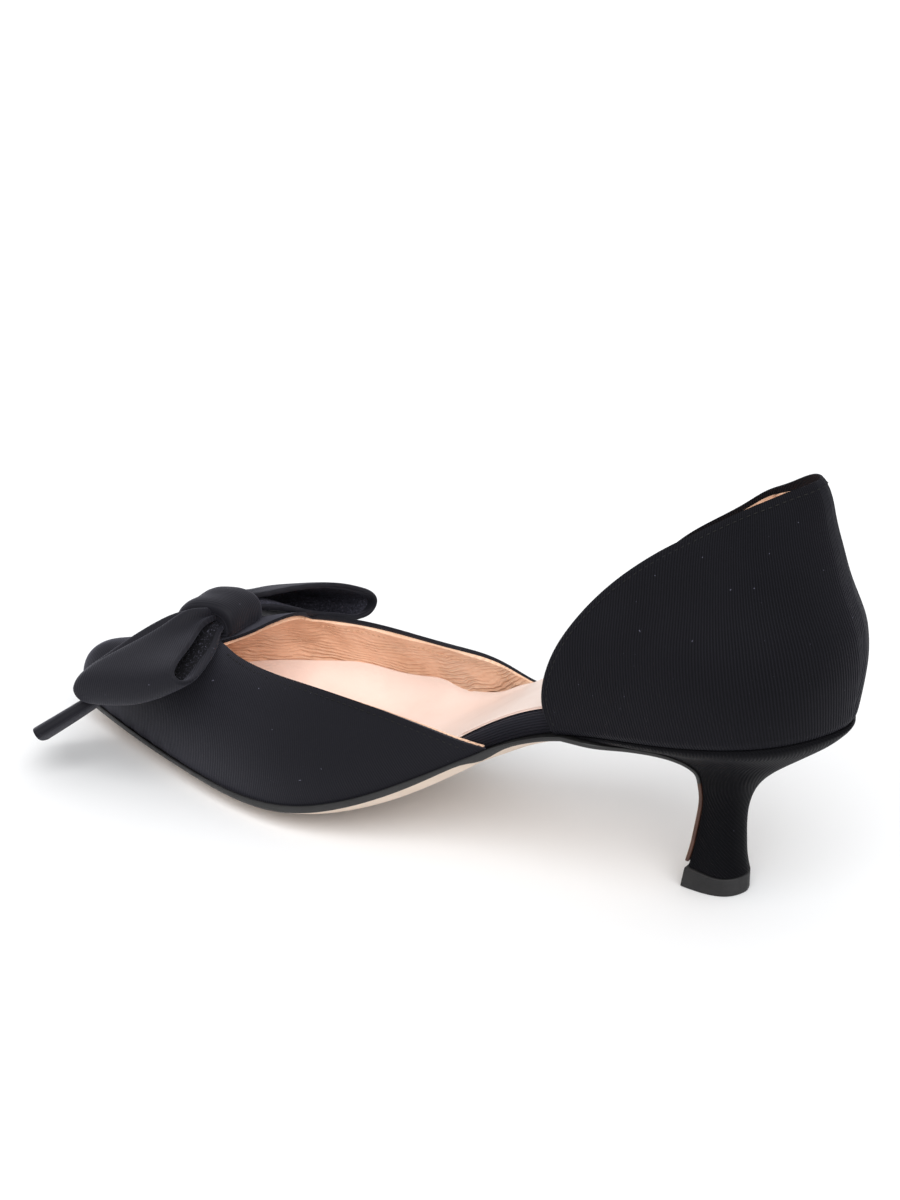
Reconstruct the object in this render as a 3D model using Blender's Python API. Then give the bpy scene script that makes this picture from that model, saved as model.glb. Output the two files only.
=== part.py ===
"""Kitten heel pump with an open waist and a bow, left shoe.

Working frame while shaping, in millimetres: x forward from the back of the
heel seat to the toe, y to the left of the shoe, z up from the floor.  At the
end everything is moved so that the origin sits under the middle of the box.
"""
import math

import bmesh
import bpy
import numpy as np

for _ob in list(bpy.data.objects):
    bpy.data.objects.remove(_ob, do_unlink=True)

MM = 0.001

# ------------------------------------------------------------ driving sizes
LENGTH = 258.0          # back of the heel seat to the toe tip
GAP = 0.3               # clearance between neighbouring pieces
VAMP_WALL = 2.0         # fabric, backing and lining together
COUNTER_WALL = 2.4      # stiffened heel piece at its foot
COUNTER_SKIVE = 0.6     # how much thinner it is along its top edge
SOLE_RIM = 1.0          # how far the sole stands out past the upper
SOLE_EDGE = 2.6         # height of the sole's side
SOLE_BODY = 3.9         # sole at the middle of the tread
CROWN = 1.7             # hollow of the forefoot across the last
SOCK = 1.2              # sock on top of the insole board
TOP_PIECE = 5.0         # rubber lift

THROAT_LEFT, THROAT_RIGHT = 199.5, 191.2   # corners of the throat
THROAT_DEPTH = 0.3      # how far the throat bows forward
WING_END_LEFT = 98.5    # where the vamp runs out on each side
WING_END_RIGHT = 101.5
WING_END_HEIGHT = 1.5
SIDE_POWER = (0.66, 0.82)   # section of the vamp across the foot: body, toe
TOP_POWER = (0.75, 0.86)
TOE_OVERHANG = 2.0      # toe leans out over its own feather edge
TOE_ROUND_FROM = 240.0  # the nose rounds off from here

COUNTER_SCALE = 62.0    # height at which the leans below apply
BACK_BULGE, BACK_LEAN = 2.6, -10.2
SIDE_BULGE, SIDE_LEAN = 2.2, -9.5
BACK_REACH = 44.6       # how far forward the lean of the back is felt
COUNTER_HALF = (26.8, 24.6)   # half widths that the side leans belong to: left, right

SEAT_FRONT = 72.0       # front of the heel seat
HEEL_WIDTH = 25.9       # half width of the seat used to scale sections

# outline of the last bottom: x, half width left, half width right
OUTLINE = [
    (0.0, 0.0, 0.0),
    (1.6, 6.8, 6.8),
    (6.0, 14.3, 14.2),
    (14.0, 21.5, 20.3),
    (30.0, 26.6, 24.8),
    (60.0, 26.9, 23.8),
    (95.0, 25.6, 20.3),
    (125.0, 31.0, 25.7),
    (155.0, 36.4, 35.2),
    (180.0, 33.2, 38.0),
    (205.0, 25.0, 32.0),
    (228.0, 16.0, 20.6),
    (245.0, 8.9, 10.6),
    (253.5, 5.2, 6.0),
    (256.9, 2.9, 3.1),
    (258.0, 0.0, 0.0),
]

# height of the feather edge above the floor: x, z
FEATHER = [
    (0, 58.2), (20, 55.3), (40, 52.3), (60, 49.7), (80, 45.4), (100, 35.9),
    (120, 23.2), (140, 13.2), (160, 7.3), (180, 5.6), (200, 5.7), (220, 5.9),
    (240, 6.6), (258, 7.8),
]

# height of the vamp's ridge above the feather edge: x, height
RIDGE = [
    (90, 20.0), (105, 27.0), (125, 35.5), (145, 41.0), (165, 42.5),
    (180, 40.2), (192, 37.2), (205, 33.0), (220, 28.4), (235, 24.0),
    (244, 20.6), (251, 18.4), (258, 16.4),
]

# top edge of the vamp's wings: x, z
WING_TOP_LEFT = [(98.5, 37.6), (105, 38.4), (112, 39.3), (122, 41.0), (137, 42.8), (153, 43.3), (171, 42.2), (181, 41.2), (192, 40.4), (199.5, 40.0)]
WING_TOP_RIGHT = [(101.5, 36.0), (112, 37.3), (120.5, 39.2), (127, 39.9), (141, 38.9), (159, 37.8), (176, 37.7), (192, 38.0)]

# top edge of the counter: x on the outline, height above the feather edge
COUNTER_TOP = [
    (77.6, 1.0), (80.1, 8.0), (79.5, 18.1), (75.6, 28.2), (68.1, 38.4),
    (54.5, 50.2), (43.5, 57.0), (33.3, 61.4), (20.6, 64.8), (6.2, 67.5),
    (0.0, 69.1),
]
COUNTER_RIGHT_DROP = 1.6   # the right side of the counter is cut a little lower

# insole board thickness: x, t
BOARD = [(0, 5.5), (60, 6.2), (95, 6.4), (120, 5.2), (145, 3.6), (180, 2.8), (258, 2.4)]

# depth of the bevel under the sole's side: x, drop
BEVEL = [(73, 0.5), (82, 1.4), (95, 2.9), (110, 3.3), (128, 3.0), (150, 1.7), (172, 0.7), (215, 0.4), (259, 0.4)]

# heel sections: share of the height, front x, back x, half width
HEEL = [
    (0.000, 43.8, 28.8, 7.7),
    (0.090, 43.0, 29.6, 7.0),
    (0.180, 42.3, 29.9, 6.6),
    (0.340, 41.2, 30.0, 6.1),
    (0.480, 40.4, 28.8, 6.4),
    (0.600, 40.3, 25.6, 8.0),
    (0.700, 41.3, 20.0, 9.8),
    (0.780, 45.4, 13.8, 12.3),
    (0.840, 50.4, 8.9, 15.6),
    (0.890, 55.8, 5.2, 19.5),
    (0.930, 61.0, 2.9, 22.9),
    (0.965, 66.0, 1.3, 24.8),
    (1.000, 72.0, 0.3, 25.7),
]

# bow: knot box and the corners of the loops on each side
BOW_Y = -2.4            # the bow sits over the middle of the throat
KNOT_X = (197.6, 220.4)
KNOT_HALF = 8.1
KNOT_TOP = 56.2
KNOT_SLOPE = 0.42
RIBBON = 2.0            # doubled ribbon, one layer of a loop
LOOP_THICK = 9.0        # loop measured over both layers at its fullest
LOOP_PINCH = 2.8        # the same next to the knot
LOOP_FULL_AT = 0.72
LOOP_ARCH = 3.4         # rise of a loop between knot and end
# corners of a loop: x, y, z
LOOP_LEFT = dict(knot_back=(203.0, 6.4, 45.6), knot_front=(217.0, 6.4, 42.8),
                 end_back=(191.5, 40.0, 41.0), end_front=(231.5, 41.5, 27.6))
LOOP_RIGHT = dict(knot_back=(201.5, -11.2, 46.8), knot_front=(215.5, -11.2, 43.4),
                  end_back=(179.5, -45.5, 35.2), end_front=(220.0, -46.5, 27.6))
TAIL_THICK = 4.2
# middle line of a tail: x, y, z
TAIL_LEFT = [(216.6, 8.2, 37.5), (229.2, 24.8, 24.3), (244.8, 40.5, 11.6)]
TAIL_RIGHT = [(217.0, -13.6, 37.2), (228.0, -32.0, 27.0), (241.5, -50.0, 13.0)]
TAIL_ACROSS = (-0.546, 0.703, 0.454)
TAIL_ROOT_HALF = 3.0
TAIL_TIP_HALF = 13.0


# ------------------------------------------------------------------ helpers
def spline(xs, ys):
    """Natural cubic through the points, held flat past its ends."""
    xs = np.asarray(xs, float)
    ys = np.asarray(ys, float)
    n = len(xs)
    h = np.diff(xs)
    a = np.eye(n)
    r = np.zeros(n)
    for i in range(1, n - 1):
        a[i, i - 1:i + 2] = h[i - 1], 2 * (h[i - 1] + h[i]), h[i]
        r[i] = 6 * ((ys[i + 1] - ys[i]) / h[i] - (ys[i] - ys[i - 1]) / h[i - 1])
    m = np.linalg.solve(a, r)

    def value(x):
        x = np.clip(np.asarray(x, float), xs[0], xs[-1])
        i = np.clip(np.searchsorted(xs, x) - 1, 0, n - 2)
        d = xs[i + 1] - xs[i]
        p = (xs[i + 1] - x) / d
        q = (x - xs[i]) / d
        return p * ys[i] + q * ys[i + 1] + ((p ** 3 - p) * m[i] + (q ** 3 - q) * m[i + 1]) * d * d / 6

    return value


def column(table, k):
    return [row[k] for row in table]


def closed_curve(points, count):
    """Smooth closed curve through the points."""
    p = np.array(points, float)
    k = 5
    q = np.vstack([p[-k:], p, p[:k + 1]])
    t = np.concatenate([[0.0], np.cumsum(np.linalg.norm(np.diff(q, axis=0), axis=1))])
    u = np.linspace(t[k], t[k + len(p)], count, endpoint=False)
    return np.stack([spline(t, q[:, 0])(u), spline(t, q[:, 1])(u)], -1)


def smooth(x, lo, hi):
    t = np.clip((np.asarray(x, float) - lo) / (hi - lo), 0, 1)
    return t * t * (3 - 2 * t)


def ends_fine(lo, hi, count):
    i = np.arange(count + 1)
    return lo + (hi - lo) * (1 - np.cos(np.pi * i / count)) / 2


class Edge:
    """Outline of the last bottom moved outwards by a distance."""

    _base = closed_curve(
        [(LENGTH, 0.0)]
        + [(x, l) for x, l, r in reversed(OUTLINE[1:-1])]
        + [(0.0, 0.0)]
        + [(x, -r) for x, l, r in OUTLINE[1:-1]], 3000)

    def __init__(self, distance):
        p = self._base
        t = np.roll(p, -1, 0) - np.roll(p, 1, 0)
        t /= np.linalg.norm(t, axis=1)[:, None]
        self.normal = np.stack([t[:, 1], -t[:, 0]], -1)
        self.points = p + distance * self.normal
        k = int(self.points[:, 0].argmin())
        self.back = k
        left = self.points[:k + 1][::-1]
        right = np.vstack([self.points[k:], self.points[:1]])
        self.left_x, self.left_y = np.maximum.accumulate(left[:, 0]), left[:, 1]
        self.right_x, self.right_y = np.maximum.accumulate(right[:, 0]), right[:, 1]
        self.lo, self.hi = self.points[:, 0].min(), self.points[:, 0].max()

    def left(self, x):
        return np.interp(x, self.left_x, self.left_y)

    def right(self, x):
        return np.interp(x, self.right_x, self.right_y)


feather = spline(column(FEATHER, 0), column(FEATHER, 1))
ridge_rise = spline(column(RIDGE, 0), column(RIDGE, 1))
wing_top_left = spline(column(WING_TOP_LEFT, 0), column(WING_TOP_LEFT, 1))
wing_top_right = spline(column(WING_TOP_RIGHT, 0), column(WING_TOP_RIGHT, 1))
board = spline(column(BOARD, 0), column(BOARD, 1))
bevel_drop = spline(column(BEVEL, 0), column(BEVEL, 1))
last = Edge(0.0)


def crown(x):
    return CROWN * smooth(x, 110, 165) * (1 - smooth(x, 235, 256))


def make(name, verts, faces, color, rough):
    """One named solid with its own material; points within a few microns join."""
    verts = np.asarray(verts, float)
    key, where, keep = {}, [], []
    for v in verts:
        k = tuple(np.round(v / 0.004).astype(int))
        if k not in key:
            key[k] = len(keep)
            keep.append(v)
        where.append(key[k])
    clean = []
    for f in faces:
        g = []
        for i in f:
            j = where[i]
            if not g or g[-1] != j:
                g.append(j)
        if len(g) > 1 and g[0] == g[-1]:
            g.pop()
        if len(set(g)) < 3:
            continue
        if len(g) == 4:
            a, b, c, d = (np.array(keep[i]) for i in g)
            if np.linalg.norm(a - c) <= np.linalg.norm(b - d):
                clean += [(g[0], g[1], g[2]), (g[0], g[2], g[3])]
            else:
                clean += [(g[0], g[1], g[3]), (g[1], g[2], g[3])]
        else:
            clean += [(g[0], g[k], g[k + 1]) for k in range(1, len(g) - 1)]
    mesh = bpy.data.meshes.new(name)
    mesh.from_pydata([tuple(np.array(p) * MM) for p in keep], [], clean)
    bm = bmesh.new()
    bm.from_mesh(mesh)
    bmesh.ops.recalc_face_normals(bm, faces=bm.faces[:])
    if bm.calc_volume(signed=True) < 0:
        bmesh.ops.reverse_faces(bm, faces=bm.faces[:])
    bm.to_mesh(mesh)
    bm.free()
    mesh.update()
    ob = bpy.data.objects.new(name, mesh)
    bpy.context.scene.collection.objects.link(ob)
    mat = bpy.data.materials.new(name)
    mat.use_nodes = True
    bsdf = mat.node_tree.nodes["Principled BSDF"]
    bsdf.inputs["Base Color"].default_value = color + (1.0,)
    bsdf.inputs["Roughness"].default_value = rough
    mesh.materials.append(mat)
    return ob


class Sheet:
    """Collects grids of points and the faces between them."""

    def __init__(self):
        self.verts, self.faces = [], []

    def grid(self, pts, flip=False, wrap=False):
        """pts[i][j] are points; returns their numbers."""
        pts = np.asarray(pts, float)
        ni, nj = pts.shape[:2]
        base = len(self.verts)
        self.verts += list(pts.reshape(-1, 3))
        ids = base + np.arange(ni * nj).reshape(ni, nj)
        for i in range(ni - 1):
            for j in range(nj if wrap else nj - 1):
                k = (j + 1) % nj
                f = (ids[i, j], ids[i, k], ids[i + 1, k], ids[i + 1, j])
                self.faces.append(f[::-1] if flip else f)
        return ids

    def strip(self, a, b, flip=False):
        for i in range(len(a) - 1):
            f = (a[i], a[i + 1], b[i + 1], b[i])
            self.faces.append(f[::-1] if flip else f)


# --------------------------------------------------------------- vamp shape
def vamp_rise(x):
    t = np.clip((x - TOE_ROUND_FROM) / (LENGTH - TOE_ROUND_FROM), 0, 1)
    return ridge_rise(x) * np.sqrt(np.maximum(1 - t ** 4, 0))


def vamp_powers(x):
    t = smooth(x, 205, 250)
    return tuple(p[0] + (p[1] - p[0]) * t for p in (SIDE_POWER, TOP_POWER))


def vamp_point(x, phi):
    """Outside of the vamp; phi runs 0 to 1 from the left edge over to the right."""
    x, phi = np.broadcast_arrays(np.asarray(x, float), np.asarray(phi, float))
    c, s = np.cos(np.pi * phi), np.abs(np.sin(np.pi * phi))
    mid, half = (last.left(x) + last.right(x)) / 2, (last.left(x) - last.right(x)) / 2
    rise = vamp_rise(x)
    side, top = vamp_powers(x)
    up = rise * s ** top
    fuller = 1.0 * smooth(x, 105, 150) * (1 - smooth(x, 225, 257)) * np.sin(np.pi * np.clip(up / 24, 0, 1))
    y = mid + np.sign(c) * (np.abs(c) ** side * half + fuller * np.abs(c))
    out = TOE_OVERHANG * smooth(x, 228, 256) * np.sin(np.pi * np.clip(up / 22, 0, 1))
    return np.stack([x + out, y, feather(x) + up], -1)


def vamp_normal(x, phi):
    x, phi = np.broadcast_arrays(np.asarray(x, float), np.asarray(phi, float))
    p = np.clip(phi, 0.012, 0.988)
    q = np.clip(x, None, LENGTH - 0.12)
    du = vamp_point(q + 0.06, p) - vamp_point(q - 0.06, p)
    dv = vamp_point(q, p + 0.004) - vamp_point(q, p - 0.004)
    n = np.cross(dv, du)
    n /= np.linalg.norm(n, axis=-1)[..., None]
    tip = x >= LENGTH - 0.01
    n[tip] = (1.0, 0.0, 0.0)
    return n


def vamp_top(x, y):
    """Height of the vamp's outside over a point of the plan."""
    mid, half = (last.left(x) + last.right(x)) / 2, (last.left(x) - last.right(x)) / 2
    side, top = vamp_powers(x)
    c = np.clip(np.abs(y - mid) / half, 0, 1) ** (1 / side)
    return feather(x) + vamp_rise(x) * np.sqrt(1 - c * c) ** top


def wing_phi(x, top_edge):
    """Share of the section that a wing covers, in phi from its own edge."""
    top = np.maximum(top_edge(x), feather(x) + WING_END_HEIGHT)
    share = np.clip((top - feather(x)) / vamp_rise(x), 0, 1)
    return np.arcsin(share ** (1 / vamp_powers(x)[1])) / np.pi


def build_vamp():
    side, throat, rows, wing_rows = 7, 8, 15, 16
    columns = 2 * side + throat
    left_c = float(wing_phi(THROAT_LEFT, wing_top_left))
    right_c = float(wing_phi(THROAT_RIGHT, wing_top_right))
    start = np.concatenate([
        np.linspace(0, left_c, side + 1),
        np.linspace(left_c, 1 - right_c, throat + 1)[1:],
        np.linspace(1 - right_c, 1, side + 1)[1:]])
    even = np.linspace(0, 1, columns + 1)
    share = np.clip((start - left_c) / (1 - right_c - left_c), 0, 1)
    bow = np.sin(np.pi * share) ** 0.7
    first = THROAT_RIGHT + (THROAT_LEFT - THROAT_RIGHT) * (1 - share) ** 3.1 + THROAT_DEPTH * bow
    go = np.sin(0.5 * np.pi * np.linspace(0, 1, rows + 1))
    xs = first[None, :] + (LENGTH - first[None, :]) * go[:, None]
    ph = start[None, :] + (even - start)[None, :] * np.linspace(0, 1, rows + 1)[:, None] ** 0.8
    patches = [(xs, ph)]
    for end, front, top_edge, right in ((WING_END_LEFT, THROAT_LEFT, wing_top_left, False),
                                        (WING_END_RIGHT, THROAT_RIGHT, wing_top_right, True)):
        wx = end + (front - end) * np.linspace(0, 1, wing_rows + 1) ** 1.15
        share = wing_phi(wx, top_edge)
        wp = share[:, None] * np.linspace(0, 1, side + 1)[None, :]
        if right:
            wp = 1 - wp[:, ::-1]
        patches.append((np.repeat(wx[:, None], side + 1, 1), wp))
    sheet = Sheet()
    ids = []
    for x, p in patches:
        out = vamp_point(x, p)
        inn = out - VAMP_WALL * vamp_normal(x, p)
        low = (p < 1e-6) | (p > 1 - 1e-6) | (x > LENGTH - 0.01)
        inn[..., 2] = np.where(low, out[..., 2], inn[..., 2])
        ids.append((sheet.grid(out), sheet.grid(inn, flip=True)))
    (ao, ai), (lo, li), (ro, ri) = ids
    sheet.strip(ao[0, side:side + throat + 1], ai[0, side:side + throat + 1], True)
    sheet.strip(ao[:, 0], ai[:, 0])
    sheet.strip(ao[:, -1], ai[:, -1], True)
    sheet.strip(lo[:, 0], li[:, 0])
    sheet.strip(lo[:, -1], li[:, -1], True)
    sheet.strip(lo[0], li[0], True)
    sheet.strip(ro[:, -1], ri[:, -1], True)
    sheet.strip(ro[:, 0], ri[:, 0])
    sheet.strip(ro[0], ri[0], True)
    return make("upper_vamp", sheet.verts, sheet.faces, (0.012, 0.012, 0.016), 0.75)


# ------------------------------------------------------------ counter shape
_arc = np.concatenate([[0.0], np.cumsum(np.linalg.norm(np.diff(last.points, axis=0), axis=1))])
_arc -= _arc[last.back]          # zero at the back of the heel, left negative


def arc_at(x, left):
    k = last.back
    if left:
        return np.interp(x, last.points[:k + 1, 0][::-1], _arc[:k + 1][::-1])
    return np.interp(x, last.points[k:, 0], _arc[k:])


def lean(h, bulge, tip):
    q = h / COUNTER_SCALE
    run = np.clip(q / 0.75, 0, 1)
    return 1.04 * bulge * np.sin(np.pi * run) * (1 - smooth(run, 0.55, 1.0)) + tip * np.clip((q - 0.25) / 0.75, 0, 1.5) ** 1.7


def counter_point(arc, h):
    arc, h = np.broadcast_arrays(np.asarray(arc, float), np.asarray(h, float))
    x = np.interp(arc, _arc, last.points[:, 0])
    y = np.interp(arc, _arc, last.points[:, 1])
    half = np.where(y > 0, COUNTER_HALF[0], COUNTER_HALF[1])
    near = 1 - smooth(x, 0, BACK_REACH)
    back = lean(h, BACK_BULGE, BACK_LEAN) + 1.3 * np.exp(-((h - 64.0) / 7.0) ** 2)
    return np.stack([x - back * near,
                     y * (1 + lean(h, SIDE_BULGE, SIDE_LEAN) / half), feather(x) + h], -1)


def counter_normal(arc, h):
    du = counter_point(arc + 0.4, h) - counter_point(arc - 0.4, h)
    dv = counter_point(arc, h + 0.2) - counter_point(arc, h - 0.2)
    n = np.cross(du, dv)
    return n / np.linalg.norm(n, axis=-1)[..., None]


def build_counter():
    half, up = 24, 10
    t = np.concatenate([[0.0], np.cumsum(np.hypot(np.diff(column(COUNTER_TOP, 0)), np.diff(column(COUNTER_TOP, 1))))])
    u = np.linspace(0, t[-1], half + 1)
    tx = np.maximum(spline(t, column(COUNTER_TOP, 0))(u), 0)
    th = spline(t, column(COUNTER_TOP, 1))(u)
    f = u / t[-1]
    arcs, tops, heights = [], [], []
    for left in (True, False):
        top = arc_at(tx, left)
        front = arc_at(COUNTER_TOP[0][0], left)
        base = front * (1 - f ** 1.12)
        top[-1] = base[-1] = 0.0
        if left:
            arcs, tops, heights = list(base), list(top), list(th)
        else:
            lower = th - COUNTER_RIGHT_DROP * np.sin(np.pi * np.clip(tx / 80, 0, 1)) * smooth(th, 5, 40)
            arcs += list(base[::-1][1:])
            tops += list(top[::-1][1:])
            heights += list(lower[::-1][1:])
    arcs, tops, heights = (np.array(a) for a in (arcs, tops, heights))
    v = np.linspace(0, 1, up + 1)
    arc = arcs[:, None] + (tops - arcs)[:, None] * v[None, :]
    h = heights[:, None] * v[None, :]
    out = counter_point(arc, h)
    wall = COUNTER_WALL - COUNTER_SKIVE * smooth(h, 25, 64)
    inn = out - wall[..., None] * counter_normal(arc, h)
    inn[:, 0, 2] = out[:, 0, 2]
    sheet = Sheet()
    o, i = sheet.grid(out), sheet.grid(inn, flip=True)
    sheet.strip(o[:, 0], i[:, 0])
    sheet.strip(o[:, -1], i[:, -1], True)
    sheet.strip(o[0], i[0], True)
    sheet.strip(o[-1], i[-1])
    return make("upper_counter", sheet.verts, sheet.faces, (0.012, 0.012, 0.016), 0.75)


# --------------------------------------------------------- insole and sock
def plate(name, edge, xs, across, top, bottom, round_in, color, rough):
    """Thin plate between two surfaces, its upper edge eased inwards."""
    sheet = Sheet()
    upper, lower = [], []
    for x in xs:
        l, r = float(edge.left(x)), float(edge.right(x))
        mid, half = (l + r) / 2, (l - r) / 2
        ease = min(round_in, 0.4 * half)
        v = np.linspace(1, -1, across + 1)
        yu = mid + v * (half - ease)
        yl = mid + v * half
        upper.append(np.stack([np.full_like(v, x), yu, top(np.full_like(v, x), v)], -1))
        lower.append(np.stack([np.full_like(v, x), yl, bottom(np.full_like(v, x), v)], -1))
    upper, lower = np.array(upper), np.array(lower)
    edge_z = lower[..., 2] + 0.72 * (upper[..., 2] - lower[..., 2])
    ridge = lower.copy()
    ridge[..., 2] = edge_z
    u, w = sheet.grid(upper), sheet.grid(lower, flip=True)
    left = sheet.grid(ridge[:, :1].repeat(2, 1))[:, 0]
    right = sheet.grid(ridge[:, -1:].repeat(2, 1))[:, 0]
    sheet.strip(u[:, 0], left)
    sheet.strip(left, w[:, 0])
    sheet.strip(u[:, -1], right, True)
    sheet.strip(right, w[:, -1], True)
    for k, flip in ((0, True), (-1, False)):
        sheet.faces.append(tuple(u[k]) + (right[k],) + tuple(w[k][::-1]) + (left[k],) if flip
                           else tuple(u[k][::-1]) + (left[k],) + tuple(w[k]) + (right[k],))
    return make(name, sheet.verts, sheet.faces, color, rough)


def build_insole():
    inset = Edge(-(COUNTER_WALL + GAP))
    xs = ends_fine(inset.lo + 0.05, inset.hi - 0.05, 40)
    plate("insole_board", inset, xs, 6,
          lambda x, v: feather(x) + board(x) - crown(x) * (1 - v * v),
          lambda x, v: feather(x) - crown(x) * (1 - v * v),
          0.9, (0.014, 0.014, 0.018), 0.75)
    inner = Edge(-(COUNTER_WALL + GAP + 1.3))
    xs = ends_fine(inner.lo + 0.05, inner.hi - 0.05, 36)
    plate("insole_sock", inner, xs, 6,
          lambda x, v: feather(x) + board(x) + GAP + SOCK - crown(x) * (1 - v * v),
          lambda x, v: feather(x) + board(x) + GAP - crown(x) * (1 - v * v),
          0.4, (0.80, 0.62, 0.53), 0.5)


# --------------------------------------------------------- heel and outsole
heel_front = spline(column(HEEL, 0), column(HEEL, 1))
heel_back = spline(column(HEEL, 0), column(HEEL, 2))
heel_half = spline(column(HEEL, 0), column(HEEL, 3))
HEEL_FOOT = TOP_PIECE + GAP


def heel_z(x, q):
    return HEEL_FOOT + (feather(x) - GAP - HEEL_FOOT) * q


def heel_outline(count):
    """Seat outline from its left front corner round the back, as shares."""
    k = last.back
    pts = last.points
    seat = pts[(pts[:, 0] <= SEAT_FRONT)]
    t = np.concatenate([[0.0], np.cumsum(np.linalg.norm(np.diff(seat, axis=0), axis=1))])
    u = np.linspace(0, t[-1], count + 1)
    x = np.interp(u, t, seat[:, 0])
    y = np.interp(u, t, seat[:, 1])
    x = (x + x[::-1]) / 2
    y = (y - y[::-1]) / 2
    return x / SEAT_FRONT, y / y.max()


def heel_loop(q, sx, sy):
    """One section; towards the seat it takes up the uneven sides of the last."""
    f, b, w = float(heel_front(q)), float(heel_back(q)), float(heel_half(q))
    x = b + (f - b) * sx
    mid = (last.left(x) + last.right(x)) / 2
    y = w * sy + mid * float(smooth(q, 0.6, 0.97))
    return np.stack([x, y, heel_z(x, q)], -1)


def ruled_cap(sheet, ids, flip):
    """Closes a loop that is its own mirror image with bands across."""
    n = len(ids)
    for i in range(n // 2):
        f = (ids[i], ids[i + 1], ids[n - 2 - i], ids[n - 1 - i])
        sheet.faces.append(f[::-1] if flip else f)


def build_heel():
    sx, sy = heel_outline(32)
    qs = np.concatenate([np.linspace(0, 0.6, 8), np.linspace(0.6, 1.0, 12)[1:]])
    rows = np.array([heel_loop(q, sx, sy) for q in qs])
    sheet = Sheet()
    ids = sheet.grid(rows, wrap=True)
    ruled_cap(sheet, ids[0], True)
    ruled_cap(sheet, ids[-1], False)
    make("heel", sheet.verts, sheet.faces, (0.012, 0.012, 0.016), 0.7)

    f, b, w = HEEL[0][1] + 1.7, HEEL[0][2] - 0.2, HEEL[0][3] + 0.3
    sheet = Sheet()
    low = np.stack([b + 0.2 + (f - b - 0.4) * sx, (w - 0.2) * sy, 0 * sx], -1)
    mid = np.stack([b + (f - b) * sx, w * sy, 0 * sx + 0.4], -1)
    top = np.stack([b + (f - b) * sx, w * sy, 0 * sx + TOP_PIECE], -1)
    ids = sheet.grid(np.array([low, mid, top]), wrap=True)
    ruled_cap(sheet, ids[0], True)
    ruled_cap(sheet, ids[-1], False)
    make("heel_top_piece", sheet.verts, sheet.faces, (0.02, 0.02, 0.022), 0.6)


def build_outsole():
    rim = Edge(SOLE_RIM)
    v_top = np.array([1, 0.7, 0.35, 0, -0.35, -0.7, -1])
    rows = []
    # flat part, from the toe back to the front of the heel seat
    xs = list(ends_fine(rim.hi - 0.05, 2 * SEAT_FRONT - rim.hi, 56))
    xs = [x for x in xs if x > SEAT_FRONT + 1.5]
    for x in xs:
        l, r = float(rim.left(x)), float(rim.right(x))
        mid, half = (l + r) / 2, (l - r) / 2
        base = float(feather(x)) - GAP
        c = float(crown(x))
        waist = 1 - float(smooth(x, 95, 150))
        edge = 0.62 * (SOLE_EDGE - 0.4 * waist)
        drop = float(bevel_drop(x))
        rim_z = base - edge
        foot = max(min(base - c - SOLE_BODY + 2.2 * waist, rim_z - drop - 0.3), 0.0)
        under = max(rim_z - drop, foot + 0.05)
        inset = min(1.4 + 0.9 * drop, 0.4 * half)
        top = [(x, mid + v * half, base - c * (1 - v * v)) for v in v_top]
        low = [(x, mid + half, rim_z), (x, mid + half - inset, under)]
        for v in (0.7, 0.35, 0, -0.35, -0.7):
            rise = min(1.2 * max(abs(v) - 0.35, 0), 1.0) * (under - foot)
            low.append((x, mid + v * (half - inset), foot + rise))
        low += [(x, mid - half + inset, under), (x, mid - half, rim_z)]
        rows.append(top + low[::-1])
    # flap that turns down the breast of the heel
    qs = np.concatenate([np.linspace(0.975, 0.72, 12), np.linspace(0.64, 0.02, 9)])
    for q in qs:
        x, w = float(heel_front(q)), float(heel_half(q))
        z = float(heel_z(x, q))
        x2, x1 = float(heel_front(q - 0.006)), float(heel_front(q + 0.006))
        d = np.array([x2 - x1, float(heel_z(x2, q - 0.006) - heel_z(x1, q + 0.006))])
        d /= np.linalg.norm(d)
        n = np.array([-d[1], d[0]])
        if n[0] - n[1] < 0:
            n = -n
        thick = 1.3 + 0.4 * float(smooth(q, 0.75, 0.97))
        half = w - 0.35 + (SOLE_RIM + 0.35) * float(smooth(q, 0.90, 0.97))
        inner = np.array([x, z]) + GAP * n
        row = [(inner[0], v * half, inner[1]) for v in v_top]
        e = inner + 0.62 * thick * n
        m = inner + thick * n
        bevel = 0.12 * half
        low = [(e[0], half, e[1]), (m[0], half - bevel, m[1])]
        low += [(m[0], v * (half - bevel), m[1]) for v in (0.7, 0.35, 0, -0.35, -0.7)]
        low += [(m[0], -half + bevel, m[1]), (e[0], -half, e[1])]
        rows.append(row + low[::-1])
    sheet = Sheet()
    ids = sheet.grid(np.array(rows), wrap=True)
    n = len(v_top)
    for k, flip in ((0, True), (-1, False)):
        top, low = ids[k][:n], ids[k][n:][::-1]
        faces = [(top[0], low[1], low[0])]
        faces += [(top[i], top[i + 1], low[i + 2], low[i + 1]) for i in range(n - 1)]
        faces += [(top[n - 1], low[n + 1], low[n])]
        for f in faces:
            sheet.faces.append(f if flip else f[::-1])
    make("outsole", sheet.verts, sheet.faces, (0.62, 0.42, 0.27), 0.55)


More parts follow.
